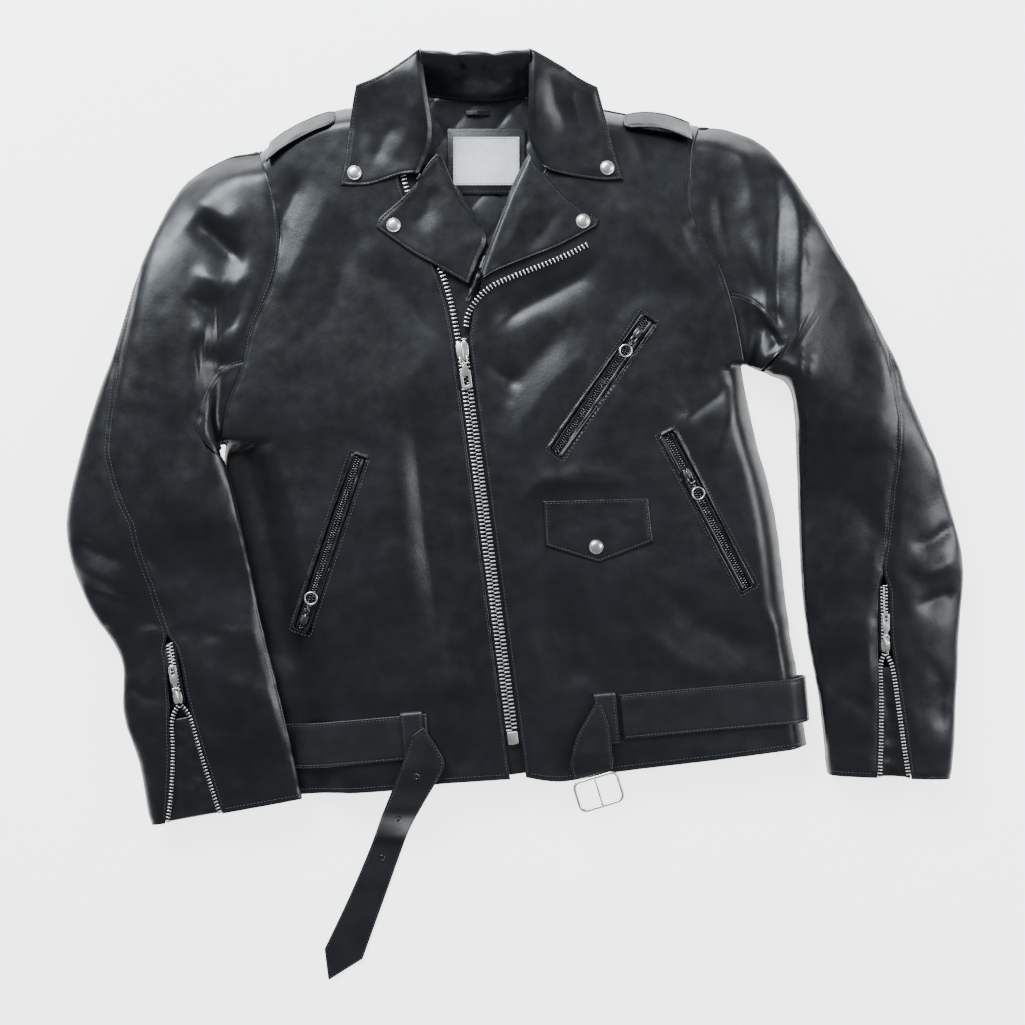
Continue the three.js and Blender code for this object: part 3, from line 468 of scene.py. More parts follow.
leather = shaded("smooth black leather", (0.0035, 0.004, 0.005), (0.0075, 0.0086, 0.0105), 14, (0.30, 0.42),
                 (("cells", 900, 0.25, 0.1), ("noise", 260, 0.3, 0.25), ("noise", 60, 0.25, 0.9)),
                 specular=0.5, coat=0.06, coatRough=0.22)
beltLeather = shaded("belt leather", (0.006, 0.0065, 0.008), (0.012, 0.013, 0.015), 20, (0.36, 0.46),
                     (("cells", 1100, 0.25, 0.1), ("noise", 220, 0.3, 0.25)), specular=0.5)
facingLeather = shaded("facing leather", (0.004, 0.0045, 0.0055), (0.010, 0.011, 0.013), 30, (0.28, 0.4),
                       (("cells", 1100, 0.3, 0.1), ("noise", 120, 0.4, 0.7)), specular=0.5)
satin = shaded("quilted satin", (0.010, 0.011, 0.014), (0.018, 0.020, 0.025), 90, (0.3, 0.42),
               (("weave", 900, 0.25, 0.1), ("noise", 90, 0.4, 0.6)), sheen=0.25)
tape = shaded("zip tape", (0.004, 0.004, 0.005), (0.011, 0.011, 0.012), 240, (0.75, 0.9),
              (("weave", 620, 0.6, 0.25),), specular=0.3, sheen=0.15)
thread = shaded("black thread", (0.03, 0.034, 0.04), (0.085, 0.092, 0.10), 700, (0.42, 0.6),
                (("weave", 1500, 0.5, 0.1),), sheen=0.2)
toothMetal = shaded("nickel teeth", (0.72, 0.72, 0.70), (0.92, 0.92, 0.90), 240, (0.28, 0.44),
                    (("noise", 900, 0.2, 0.05),), metallic=1.0)
darkTooth = shaded("dark pocket teeth", (0.06, 0.062, 0.066), (0.26, 0.265, 0.27), 260, (0.25, 0.42),
                   (("noise", 900, 0.2, 0.05),), metallic=1.0)
nickel = shaded("polished nickel", (0.80, 0.785, 0.74), (0.92, 0.91, 0.87), 130, (0.24, 0.4),
                (("noise", 420, 0.12, 0.05),), metallic=1.0)
labelCloth = shaded("woven label", (0.80, 0.81, 0.80), (0.88, 0.885, 0.875), 160, (0.55, 0.7),
                    (("weave", 800, 0.5, 0.15),), specular=0.35, sheen=0.1)
eyeletDark = shaded("blackened eyelet", (0.05, 0.05, 0.052), (0.14, 0.14, 0.145), 200, (0.25, 0.4), (),
                    metallic=1.0)
print("materials made")

# --- outlines of the body, the same as the pattern's ---

body = {
    "rightArmhole": catmull([(-291, 70), (-286, 105), (-272, 140), (-260, 185), (-242, 225), (-234, 270),
                             (-242, 325), (-257, 363)]),
    "rightSide": catmull([(-303, -287), (-304, -190), (-301, -90), (-296, 10), (-291, 70)]),
    "rightShoulder": catmull([(-257, 363), (-230, 385), (-192, 404), (-158, 411), (-124, 410)]),
    "leftArmhole": catmull([(233, 147), (227, 180), (220, 210), (208, 245), (198, 260), (187, 280),
                            (180, 305), (179, 330), (182, 370), (190, 392)]),
    "leftSide": catmull([(299, -236), (295, -210), (289, -162), (283, -130), (278, -90), (270, -20),
                         (260, 30), (250, 65), (240, 110), (233, 147)]),
    "leftShoulder": catmull([(75, 412), (95, 407), (135, 400), (190, 392)]),
    "armpit": 70, "sideEnd": 147, "top": 30, "seam": 6.8, "roll": 26, "under": 13,
    "wall": 2.6, "zipEdge": 7.8,
}
zipFoot, zipBreak = np.array([2.0, -235.0]), np.array([-51.0, 172.0])
zipLength = float(np.linalg.norm(zipBreak - zipFoot))
zipAlong = (zipBreak - zipFoot) / zipLength
zipAcross = np.array([zipAlong[1], -zipAlong[0]])


def zipPoint(s, off=0.0):
    return zipFoot + zipAlong * s + zipAcross * off


def spaced(line, count):
    return byLength(line)(np.linspace(0, 1, count))


rightZipUpper = catmull([zipPoint(zipLength), (-57, 205), (-64, 230), (-74, 256), (-88, 288), (-101, 320),
                         (-108, 345)])
rightUpperEdge = offset(spaced(rightZipUpper, 6), -body["zipEdge"])
rightZipEdge = np.vstack([[zipPoint(-32, -body["zipEdge"])],
                          catmull([zipPoint(zipLength, -body["zipEdge"]), *rightUpperEdge[1:],
                                   (-124, 410)])])
leftZipEdge = np.vstack([[zipPoint(-32, body["zipEdge"])],
                         catmull([zipPoint(zipLength, body["zipEdge"]), (-38, 205), (-29, 238), (-10, 275),
                                  (12, 310), (34, 345), (44, 380), (75, 412)])])
rightHem = catmull([(-303, -287), (-210, -285), (-110, -278), (-70, -272), rightZipEdge[0]])
leftHem = catmull([leftZipEdge[0], (50, -270), (102, -261), (190, -250), (299, -236)])
rightOuter = np.vstack([body["rightSide"], body["rightArmhole"][1:]])
leftOuter = np.vstack([body["leftSide"], body["leftArmhole"][1:]])
rightFrontPlan = coons(byLength(rightHem), byLength(body["rightShoulder"]), byLength(rightOuter),
                       byLength(rightZipEdge))
leftFrontPlan = coons(byLength(leftHem), byLength(body["leftShoulder"]), byLength(leftZipEdge),
                      byLength(leftOuter))

rightSleeveInner = catmull([(-292, 68), (-293, 64), (-292, 60), (-290, 55), (-286, 48), (-274, 4),
                            (-263, -50), (-251, -110), (-236, -170), (-221, -235), (-210, -287)])
rightSleeveOuter = catmull([(-266, 372), (-330, 332), (-369, 252), (-398, 160), (-432, 60), (-446, -20),
                            (-428, -90), (-394, -148), (-389, -202), (-372, -257), (-362, -314)])
leftSleeveInner = catmull([(236, 148.3), (238.4, 146.9), (242, 145), (248, 142), (260, 137), (281, 121),
                           (287, 50), (291, -50), (297, -120), (310, -190), (318, -264)])
leftSleeveOuter = catmull([(193.8, 394.4), (249, 375), (288, 326), (336, 243), (379, 160), (409, 90),
                           (438, 16), (453, -56), (447, -130), (445, -200), (441, -268)])


def sortedRead(line, key, other):
    order = np.argsort(line[:, key])
    return lambda value: np.interp(value, line[order, key], line[order, other])


rightSideX, leftSideX = sortedRead(body["rightSide"], 1, 0), sortedRead(body["leftSide"], 1, 0)
rightShoulderY, leftShoulderY = sortedRead(body["rightShoulder"], 0, 1), sortedRead(body["leftShoulder"], 0,
                                                                                    1)
rightSleeveX = sortedRead(rightSleeveInner, 1, 0)


def backUnder(x, y, early=0.0):
    middle = -243 + (x + 306) * 55 / 612
    flat = 40.5 + early
    return 3.4 * (1 - smooth(np.abs(y - middle), flat, flat + 30))


def roll(distance):
    return mix(body["seam"], body["top"], np.sin(np.pi / 2 * np.clip(distance / body["roll"], 0, 1)))


def frontTop(x, y):
    right = x < 0
    under = backUnder(x, y, 30)
    side = np.where(right, x - rightSideX(y), leftSideX(y) - x)
    beside = np.where(y < np.where(right, body["armpit"], body["sideEnd"]), roll(side) + under, body["top"])
    shoulderY = np.where(right, rightShoulderY(x), leftShoulderY(x))
    onShoulder = (x < -124) | (x > 75)
    shoulder = np.where(onShoulder, roll(shoulderY - y), body["top"])
    past = smooth(y, body["armpit"] - 14, body["armpit"] + 6)
    clear = np.maximum(smooth(x - rightSleeveX(y), 14, 56), past)
    tucked = mix(body["under"] + under, body["top"], clear)
    return np.minimum.reduce([beside, shoulder, tucked, np.full(np.shape(x), float(body["top"]))])


pockets = {
    "right_hand_pocket": {"foot": (-211, -118), "head": (-153, 56), "slider": 12, "towardHead": True},
    "chest_pocket": {"foot": (44, 59), "head": (136, 194), "slider": 144, "towardHead": False},
    "left_hand_pocket": {"foot": (236, -76), "head": (154, 78), "slider": 128, "towardHead": False},
}
pocketOpening = 15

# Folds of the fronts: line, depth, spread to its left and right, power of its section.
frontFolds = [
    ([(-107, 128), (-94, 62), (-87, -8), (-77, -78), (-65, -178)], -4.2, 30, 15, 1.5),
    ([(-126, 118), (-116, 40), (-108, -40), (-100, -120)], 1.6, 22, 16),
    ([(-178, 330), (-205, 270), (-236, 205)], 1.8, 20, 14),
    ([(-205, 345), (-232, 290), (-246, 250)], -2.2, 10, 14),
    ([(-150, 300), (-176, 225), (-196, 150)], -1.8, 20, 24),
    ([(-70, 160), (-92, 196), (-128, 232), (-160, 250)], -1.8, 12, 18),
    ([(-260, 120), (-232, 60), (-222, -30), (-230, -120)], -2.0, 16, 22),
    ([(-60, -60), (-52, -130), (-46, -220)], 1.4, 12, 14),
    ([(-36, 176), (10, 205), (70, 236), (96, 262)], -3.4, 13, 13, 1.5),
    ([(-30, 40), (-8, 74), (30, 100), (62, 140), (96, 200)], 2.2, 22, 24),
    ([(-20, 118), (14, 142), (56, 188)], -1.8, 16, 16),
    ([(-2, 4), (40, 34), (88, 34), (132, 26)], 1.8, 14, 10),
    ([(-38, 154), (-16, 140), (12, 124)], -1.6, 5, 8, 1.3),
    ([(-34, 136), (-14, 118), (6, 106)], -1.0, 5, 6, 1.3),
    ([(112, 396), (140, 340), (170, 286), (186, 240)], -3.0, 11, 16, 1.5),
    ([(92, 330), (118, 300), (160, 262), (196, 214)], 1.6, 14, 16),
    ([(236, 152), (206, 118), (176, 96), (150, 92)], -2.4, 8, 14, 1.4),
    ([(238, 128), (214, 84), (200, 40)], 1.6, 12, 12),
    ([(40, -60), (60, -120), (74, -190)], -1.6, 20, 26),
    ([(150, -70), (182, -110), (236, -136), (268, -140)], -2.2, 12, 18),
    ([(120, -110), (180, -160), (240, -186)], 1.6, 16, 16),
    ([(8, -90), (22, -150), (30, -230)], 1.4, 12, 16),
]


def frontDetail(x, y):
    found = 1.6 * foldsOf(x, y, frontFolds) + creases(x, y, 2, 1.5, 0.26, 0.07)
    calm = 1.0
    for pocket in pockets.values():
        d = nearLine(x, y, [pocket["foot"], pocket["head"]])[0]
        calm = calm * mix(0.25, 1, smooth(d, 8, 30))
    calm = calm * mix(0.15, 1, smooth(nearLine(x, y, rightZipEdge)[0], 4, 40))
    calm = calm * mix(0.15, 1, smooth(nearLine(x, y, leftZipEdge)[0], 4, 40))
    flap = smooth(nearLine(x, y, [(40, -12), (132, -10)])[0], 22, 44)
    calm = calm * mix(0.2, 1, flap)
    belt = smooth(np.abs(y - (-225 + 0.09 * (x + 98))), 26, 50)
    side = np.where(x < 0, x - rightSideX(y), leftSideX(y) - x)
    nearSide = np.where(y < np.where(x < 0, body["armpit"], body["sideEnd"]), smooth(side, 2, 30), 1)
    nearShoulder = smooth(np.where(x < 0, rightShoulderY(x), leftShoulderY(x)) - y, 2, 26)
    nearShoulder = np.where((x < -124) | (x > 75), nearShoulder, 1)
    quiet = calm * mix(0.15, 1, belt) * nearSide * nearShoulder
    # what lies on the fronts needs them no higher than their plain top
    return np.minimum(found * quiet, mix(0.15, 3.0, np.clip(quiet, 0, 1)))


def pucker(base, border, depth=0.5, reach=9.0, pitch=8.0, seed=1):
    x, y = base[..., 0], base[..., 1]
    return -depth * np.exp(-border / reach) * (0.4 + 0.5 * softNoise(x, y, pitch, seed))


def seamGroove(border, at=3.3, depth=0.28):
    return -depth * np.exp(-((border - at) / 0.9) ** 2)


def onFront(plan):
    def place(u, v):
        q = plan(u, v)
        return np.concatenate([q, frontTop(q[..., 0], q[..., 1])[..., None]], -1)
    return place


def frontLift(base, border, normals):
    x, y = base[..., 0], base[..., 1]
    upright = np.clip(normals[..., 2], 0, 1)
    return frontDetail(x, y) * upright + pucker(base, border) + seamGroove(border)


bodySeams = []
rightFront = skin("right_front_shell",
                  {"us": stops(250, 3.2, rollSteps, edgeSteps), "vs": stops(690, 3.4, edgeSteps, rollSteps),
                   "wall": body["wall"]},
                  onFront(rightFrontPlan), frontLift, leather, "root",
                  ["right_front_panel"],
                  [(pockets["right_hand_pocket"]["foot"], pockets["right_hand_pocket"]["head"],
                    pocketOpening)])
leftFront = skin("left_front_shell",
                 {"us": stops(270, 3.2, edgeSteps, rollSteps), "vs": stops(680, 3.4, edgeSteps, rollSteps),
                  "wall": body["wall"]},
                 onFront(leftFrontPlan), frontLift, leather, "root", ["left_front_panel"],
                 [(pockets[n]["foot"], pockets[n]["head"], pocketOpening)
                  for n in ("chest_pocket", "left_hand_pocket")])
bodySeams += [edgeRun(rightFront, "u1", 3.3, (6, 60)), edgeRun(leftFront, "u0", 3.3, (6, 60)),
              edgeRun(rightFront, "v0", 6, (6, 6)), edgeRun(leftFront, "v0", 6, (6, 6))]
print("fronts laid")

# --- back and lining ---

backHem = catmull([(-303, -287), (-110, -278), (0, -266), (190, -250), (299, -236)])
backTop = catmull([(-257, 363), (-192, 404), (-124, 412), (-84, 430), (-30, 434), (24, 430), (75, 414),
                   (190, 392)])
backPlan = coons(byLength(backHem), byLength(backTop), byLength(rightOuter), byLength(leftOuter))


def backPlace(u, v):
    q = backPlan(u, v)
    return np.concatenate([q, backUnder(q[..., 0], q[..., 1])[..., None] + 0.15], -1)


def backLift(base, border, normals):
    x, y = base[..., 0], base[..., 1]
    inward = np.clip(-0.9 - creases(x, y, 8, 0.7, 0.3, 0.08), -2.2, 0) * smooth(border, 2, 22)
    return inward + pucker(base, border, 0.4)


back = skin("back_shell", {"us": stops(560, 5), "vs": stops(680, 5), "wall": 1.8, "facing": -1},
            backPlace, backLift, leather, "root", ["back_panel"])
backSeams = [edgeRun(back, side, 4, (8, 8)) for side in ("u0", "u1", "v0", "v1")]

quilt = {"side": 44.0, "puff": 2.6, "wall": 1.6}


def liningPlace(u, v):
    q = backPlan(mix(0.04, 0.96, u), mix(0.02, 0.985, v))
    return np.concatenate([q, backUnder(q[..., 0], q[..., 1], 30)[..., None] + 4.2], -1)


def quiltLift(base, border, normals):
    x, y = base[..., 0], base[..., 1]
    a = np.abs(np.sin(np.pi * (x + y * 0.86) / quilt["side"]))
    b = np.abs(np.sin(np.pi * (x - y * 0.86) / quilt["side"]))
    puff = quilt["puff"] * np.power(a * b, 0.3)
    return puff - 1.3 + 0.35 * softNoise(x, y, 9, 4) * np.exp(-np.minimum(a, b) * 5)


skin("quilted_lining", {"us": stops(500, 2.6), "vs": stops(660, 2.6), "wall": quilt["wall"]},
     liningPlace, quiltLift, satin, "root", ["back_lining"])


def underlap():
    south = byLength(np.array([zipPoint(-28, -12), zipPoint(-28, 14)]))
    west = byLength(np.vstack([[zipPoint(-28, -12)],
                               catmull([zipPoint(zipLength - 6, -12), (-76, 215), (-92, 262), (-112, 310),
                                        (-120, 348)])]))
    east = byLength(np.vstack([[zipPoint(-28, 14)],
                               catmull([zipPoint(zipLength - 20, 14), (-28, 200), (-23, 240), (-26, 276),
                                        (-50, 318), (-74, 350)])]))
    plan = coons(south, byLength(np.array([(-120, 348), (-74, 350)])), west, east)

    def place(u, v):
        q = plan(u, v)
        return np.concatenate([q, np.full(q.shape[:-1] + (1,), 25.4)], -1)
    return skin("zip_underlap", {"us": stops(26, 3), "vs": stops(600, 5), "wall": 1.6, "edge": 0.8}, place,
                lambda base, border, normals: pucker(base, border, 0.4) + 0.2 * softNoise(base[..., 0],
                                                                                       base[..., 1], 14, 5),
                facingLeather, "root", ["front_underlap"])


underlap()
print("back, lining and underlap laid")

# --- sleeves ---

sleeve = {"head": 31, "elbow": 46, "cuff": 34, "power": 3.4, "wall": 1.9, "turn": 0.9996, "reach": 0.27,
          "gusset": 8 / 24, "tuck": 6.0, "headWidth": 215,
          "drop": {"right": 5.0, "left": 3.0}}
seams = {
    "right": {"front": [1, 1, 1, 0.97, 0.87, 0.69, 0.655, 0.66, 0.61, 0.585, 0.515],
              "back": [1, 1, 1, 0.97, 0.87, 0.69, 0.665, 0.74, 0.73, 0.815, 0.9]},
    "left": {"front": [1, 1, 1, 1, 0.985, 0.87, 0.675, 0.49, 0.476, 0.422, 0.374],
             "back": [1, 1, 1, 1, 0.985, 0.87, 0.675, 0.56, 0.57, 0.6, 0.66]},
}
sleeveFolds = {
    "right": [
        ([(-318, 296), (-290, 268), (-262, 244)], -9.5, 9, 13, 1.5, 0.35),
        ([(-322, 318), (-292, 296), (-262, 282)], 4.0, 12, 10, 1.6, 0.35),
        ([(-322, 240), (-288, 224), (-252, 222)], 4.5, 9, 9),
        ([(-326, 214), (-292, 200), (-256, 196)], -5.0, 8, 9, 1.5),
        ([(-322, 186), (-296, 172), (-266, 168)], 3.2, 9, 9),
        ([(-320, 160), (-298, 148), (-270, 146)], -3.0, 7, 9, 1.5),
        ([(-345, 300), (-362, 220), (-378, 130), (-398, 40)], 3.0, 26, 24),
        ([(-318, 120), (-330, 60), (-338, -10), (-330, -90)], -3.0, 18, 24),
        ([(-300, 100), (-300, 40), (-296, -40)], 2.4, 14, 14),
        ([(-440, -24), (-412, -40), (-378, -52)], -4.2, 6, 9, 1.3),
        ([(-438, -52), (-410, -64), (-380, -76)], 2.6, 8, 8),
        ([(-428, -76), (-404, -84), (-372, -98)], -3.2, 6, 8, 1.3),
        ([(-372, -34), (-350, -58), (-318, -70)], -2.0, 8, 12),
        ([(-342, -110), (-312, -120), (-280, -124)], -2.0, 8, 12),
        ([(-318, -150), (-290, -168), (-256, -176)], 1.6, 10, 12),
        ([(-330, -200), (-300, -214), (-264, -222)], -1.8, 8, 10),
        ([(-386, -170), (-372, -182), (-352, -190)], -1.8, 5, 7, 1.3),
        ([(-382, -214), (-368, -222), (-350, -228)], -1.6, 5, 7, 1.3),
        ([(-262, -100), (-252, -170), (-240, -240)], 1.8, 10, 12),
    ],
    "left": [
        ([(262, 352), (266, 300), (262, 240), (262, 170), (272, 100)], -6.0, 8, 20, 1.5, 0.25),
        ([(282, 346), (286, 280), (283, 200), (286, 120), (296, 50)], 4.4, 12, 9, 1.6, 0.25),
        ([(206, 330), (212, 290), (226, 240)], -3.0, 12, 12),
        ([(225, 372), (236, 330), (240, 280)], 2.4, 12, 14),
        ([(236, 190), (256, 178), (280, 172)], -3.2, 6, 8, 1.4),
        ([(232, 214), (252, 206), (274, 206)], 2.2, 8, 8),
        ([(240, 160), (262, 152), (292, 138)], 2.0, 6, 7),
        ([(300, 300), (318, 230), (338, 160), (352, 80)], -2.6, 22, 26),
        ([(330, 270), (356, 190), (382, 110)], 2.6, 18, 18),
        ([(300, 60), (306, -10), (310, -80), (318, -150)], -3.0, 12, 20),
        ([(446, -10), (424, -26), (396, -38)], -3.6, 8, 6, 1.3),
        ([(450, -44), (428, -54), (398, -64)], 2.4, 8, 8),
        ([(448, -78), (424, -86), (400, -96)], -2.8, 7, 6, 1.3),
        ([(330, 20), (352, 0), (372, -40)], -2.2, 12, 14),
        ([(340, -70), (352, -130), (356, -200)], 2.0, 16, 14),
        ([(414, -140), (428, -170), (430, -230)], -1.8, 8, 10),
        ([(322, -180), (344, -190), (366, -196)], -1.4, 6, 8),
    ],
}


def rounded(q):
    return np.sign(q) * np.power(np.abs(q), 2 / sleeve["power"])


def turnOf(v):
    side = np.clip(2 * np.asarray(v, float) - 1, -1, 1)
    turn = np.arccos(np.sign(side) * np.power(np.abs(side), sleeve["power"] / 2)) / np.pi
    return np.minimum(turn, sleeve["turn"])


def rightSupport(x, y):
    overBody = smooth(x - rightSideX(y), -70, -36)
    below = 1 - smooth(y, body["armpit"] - 6, body["armpit"] + 10)
    return 21.0 * overBody * below


def sleeveShape(side):
    inner, outer, armhole = {"right": (rightSleeveInner, rightSleeveOuter, body["rightArmhole"]),
                             "left": (leftSleeveInner, leftSleeveOuter, body["leftArmhole"])}[side]
    innerAt, outerAt, cap = byKnot(inner), byKnot(outer), byLength(armhole)
    innerMiss, outerMiss = innerAt(0.0) - cap(0.0), outerAt(0.0) - cap(1.0)

    def head(v):
        w = np.asarray(v, float)[..., None]
        return cap(v) + (1 - w) * innerMiss + w * outerMiss

    def cuffEnd(v):
        return mix(innerAt(1.0), outerAt(1.0), np.asarray(v, float)[..., None])
    plan = coons(innerAt, outerAt, head, cuffEnd)

    def surface(u, turn):
        angle = turn * np.pi
        v = 0.5 + rounded(np.cos(angle)) / 2
        q = plan(u, v)
        # the head runs on under the armhole's edge and takes the shoulder's height there
        tuck = 1 - smooth(u, 0, 0.045)
        q[..., 0] += (sleeve["tuck"] + 5 * v ** 3) * tuck * (1 if side == "right" else -1)
        q[..., 1] -= sleeve["drop"][side] * tuck * v ** 2
        low = rightSupport(q[..., 0], q[..., 1]) if side == "right" else 0.0
        top = mix(mix(sleeve["head"], sleeve["elbow"], smooth(u, 0.02, 0.3)), sleeve["cuff"],
                  smooth(u, 0.5, 0.66))
        high = mix(top, np.minimum(top, roll((1 - v) * sleeve["headWidth"])),
                   1 - smooth(u, 0.02, 0.2)) - 1.2 * tuck
        z = mix(low, high, 0.5 + rounded(np.sin(angle)) / 2)
        return np.concatenate([q, z[..., None]], -1)
    return plan, surface


shapes = {side: sleeveShape(side) for side in ("right", "left")}


# Where the cuff zips close and where their slits begin, along the sleeve.
cuffLook = {"right": {"from": 0.8, "top": 0.69}, "left": {"from": 0.82, "top": 0.725}, "seat": 31.6,
            "inset": 2.9}


def seamV(side, which, u):
    front, back = (np.interp(u, np.linspace(0, 1, 11), seams[side][name]) for name in ("front", "back"))
    parted = (back - front) / 2 * smooth(u, cuffLook[side]["top"] - 0.02, cuffLook[side]["top"] + 0.012)
    return (front + back) / 2 + (parted if which == "back" else -parted)


def sleeveDetail(side):
    def detail(base, border, normals):
        x, y = base[..., 0], base[..., 1]
        up = smooth(normals[..., 2], -0.3, 0.6)
        found = foldsOf(x, y, sleeveFolds[side]) + creases(x, y, 5 if side == "right" else 9, 1.5, 0.6,
                                                           0.13)
        close = smooth(border, 0, 12)
        return found * mix(0.12, 1, up) * mix(0.3, 1, close) + pucker(base, border,
                                                                      0.55) + seamGroove(border)
    return detail


def makeSleeve(side):
    plan, surface = shapes[side]
    detail = sleeveDetail(side)

    def strip(lowTurn, highTurn, end):
        def place(u, v):
            return surface(u * end, mix(lowTurn(u * end), highTurn(u * end), v))
        return place

    def gussetLine(u):
        return turnOf(mix(0.0, sleeve["reach"], 1 - smooth(u, sleeve["gusset"] - 0.03,
                                                           sleeve["gusset"] + 0.01)))

    front = skin(side + "_sleeve_top", {"us": stops(660, 3.4), "vs": stops(150, 3.4),
                                        "wall": sleeve["wall"], "edge": 0.6},
                 strip(gussetLine, lambda u: turnOf(seamV(side, "front", u) + 0.003), 1.0), detail, leather,
                 "root", [side + "_sleeve_front"])
    backPiece = skin(side + "_sleeve_under", {"us": stops(660, 3.6), "vs": stops(250, 3.8),
                                              "wall": sleeve["wall"], "edge": 0.6, "facing": -1},
                     strip(lambda u: turnOf(seamV(side, "back", u) - 0.003),
                           lambda u: -sleeve["turn"] + 0 * u, 1.0),
                     detail, leather, "root", [side + "_sleeve_back"])
    skin(side + "_gusset_skin", {"us": stops(200, 3.4), "vs": stops(34, 3), "wall": sleeve["wall"],
                                 "edge": 0.6},
         strip(lambda u: sleeve["turn"] + 0 * u, lambda u: turnOf(mix(0.0, sleeve["reach"] + 0.006,
                                                                      1 - smooth(
             u, sleeve["gusset"] - 0.03, sleeve["gusset"] + 0.01)) ), sleeve["gusset"] - 0.02),
         detail, leather, "root", [side + "_underarm_gusset"])
    return [edgeRun(front, "v1", 3.2, (14, 8)), edgeRun(backPiece, "v0", 3.2, (14, 8)),
            edgeRun(front, "u1", 5, (5, 5)), edgeRun(front, "u0", 3.2, (5, 5)),
            edgeRun(front, "v0", 3.2, (5, 450))]


sleeveSeams = [line for side in ("right", "left") for line in makeSleeve(side)]
print("sleeves laid")

# --- collar and lapels ---

collar = {"rest": 33.4, "fold": 54.0, "wall": 2.4, "spread": 62}


def leafHeight(foldX):
    def height(x, y):
        out = smooth(np.abs(x - foldX), 0, collar["spread"])
        ridge = mix(collar["rest"] + 4, collar["fold"], smooth(y, 340, 440))
        return mix(ridge, collar["rest"], out * (1 - 0.45 * smooth(y, 375, 440)))
    return height


def lying(plan, height):
    def place(u, v):
        q = plan(u, v)
        return np.concatenate([q, height(q[..., 0], q[..., 1])[..., None]], -1)
    return place


def leafDetail(seed, foldLine, folds=()):
    def detail(base, border, normals):
        x, y = base[..., 0], base[..., 1]
        rolled = -2.6 * (1 - smooth(nearLine(x, y, foldLine)[0], 0, 7)) ** 2
        found = creases(x, y, seed, 0.5, 0.35, 0.1) * smooth(border, 1, 14) + foldsOf(x, y, folds)
        return np.minimum(found, 1.2) + rolled + pucker(base, border, 0.35, 7, 7) + seamGroove(border, 3.4,
                                                                                               0.3)
    return detail


def makeLeaf(name, edges, height, foldSide, seed, body_, replaces, us, vs, folds=()):
    lines = [catmull(e) for e in edges]
    plan = coons(*[byLength(line) for line in lines])
    foldLine = lines[foldSide]
    return skin(name, {"us": us, "vs": vs, "wall": collar["wall"], "edge": 1.3}, lying(plan, height),
                leafDetail(seed, foldLine[::4], folds), leather, body_, replaces)


rightLeaf = makeLeaf("right_collar_skin", [
    [(-171, 326), (-144, 326), (-112, 336), (-93, 337)],
    [(-155, 424), (-130, 434), (-105, 448), (-90.6, 458)],
    [(-171, 326), (-166, 357), (-160, 400), (-155, 424)],
    [(-93, 337), (-82, 362), (-79, 382), (-84.5, 417), (-90.6, 458)]],
    leafHeight(-78), 3, 21, "right_collar", ["right_collar_leaf"], stops(78, 2.2), stops(115, 2.4),
    [([(-140, 345), (-128, 372), (-112, 392)], -1.6, 8, 12),
     ([(-118, 350), (-104, 380), (-96, 420)], 1.0, 8, 10)])
leftLeaf = makeLeaf("left_collar_skin", [
    [(30, 345), (45, 338), (88, 331), (111, 332)],
    [(16, 458), (48, 442), (68, 430), (85, 422)],
    [(30, 345), (18, 367), (16.6, 385), (16.4, 420), (16, 458)],
    [(111, 332), (106, 350), (98, 378), (85, 422)]],
    leafHeight(15.5), 2, 24, "left_collar", ["left_collar_leaf"], stops(82, 2.2), stops(115, 2.4),
    [([(36, 440), (44, 404), (60, 372)], -1.6, 10, 9), ([(60, 428), (70, 396), (84, 356)], 1.0, 8, 8)])
sewOn("right_collar_stitches", [edgeRun(rightLeaf, "v0", 3.4, (3.4, 3)),
                                edgeRun(rightLeaf, "u0", 3.4, (3.4, 3)),
                                edgeRun(rightLeaf, "v1", 3.4, (3.4, 3))], "right_collar")
sewOn("left_collar_stitches", [edgeRun(leftLeaf, "v0", 3.4, (3, 3.4)),
                               edgeRun(leftLeaf, "u1", 3.4, (3.4, 3)),
                               edgeRun(leftLeaf, "v1", 3.4, (3, 3.4))], "left_collar")


def makeStand():
    profile = byLength(catmull([(420, 7), (433, 34), (446, 54), (454, 55), (460, 34), (463, 4)]))

    def place(u, v):
        q = profile(v)
        y, z = q[..., 0], q[..., 1]
        low, high = -78 - 12 * (y - 380) / 78 - 1.6, np.full(np.shape(y), 17.6)
        bow = 5 * np.sin(np.pi * u) * (1 - v)
        return np.stack([mix(low, high, u), y - bow, z + 2.6], -1)

    def detail(base, border, normals):
        x, y, z = base[..., 0], base[..., 1], base[..., 2]
        tucks = foldsOf(x, y, [([(-58, 462), (-55, 448), (-50, 432)], -2.6, 5, 7, 1.5, 0.15),
                               ([(-16, 462), (-20, 448), (-26, 432)], -2.6, 7, 5, 1.5, 0.15)])
        return (tucks + 0.5 * softNoise(x, z, 22, 7) + 0.2 * softNoise(x, z, 9, 3)) * smooth(border, 0,
                                                                                             4) - 0.3
    stand = skin("collar_stand_skin", {"us": stops(100, 2.4), "vs": stops(100, 2.2), "wall": 2.4,
                                       "edge": 0.4},
                 place, detail, leather, "root", ["collar_stand"])
    return [edgeRun(stand, "v0", 4, (4, 4))]


bodySeams += makeStand()

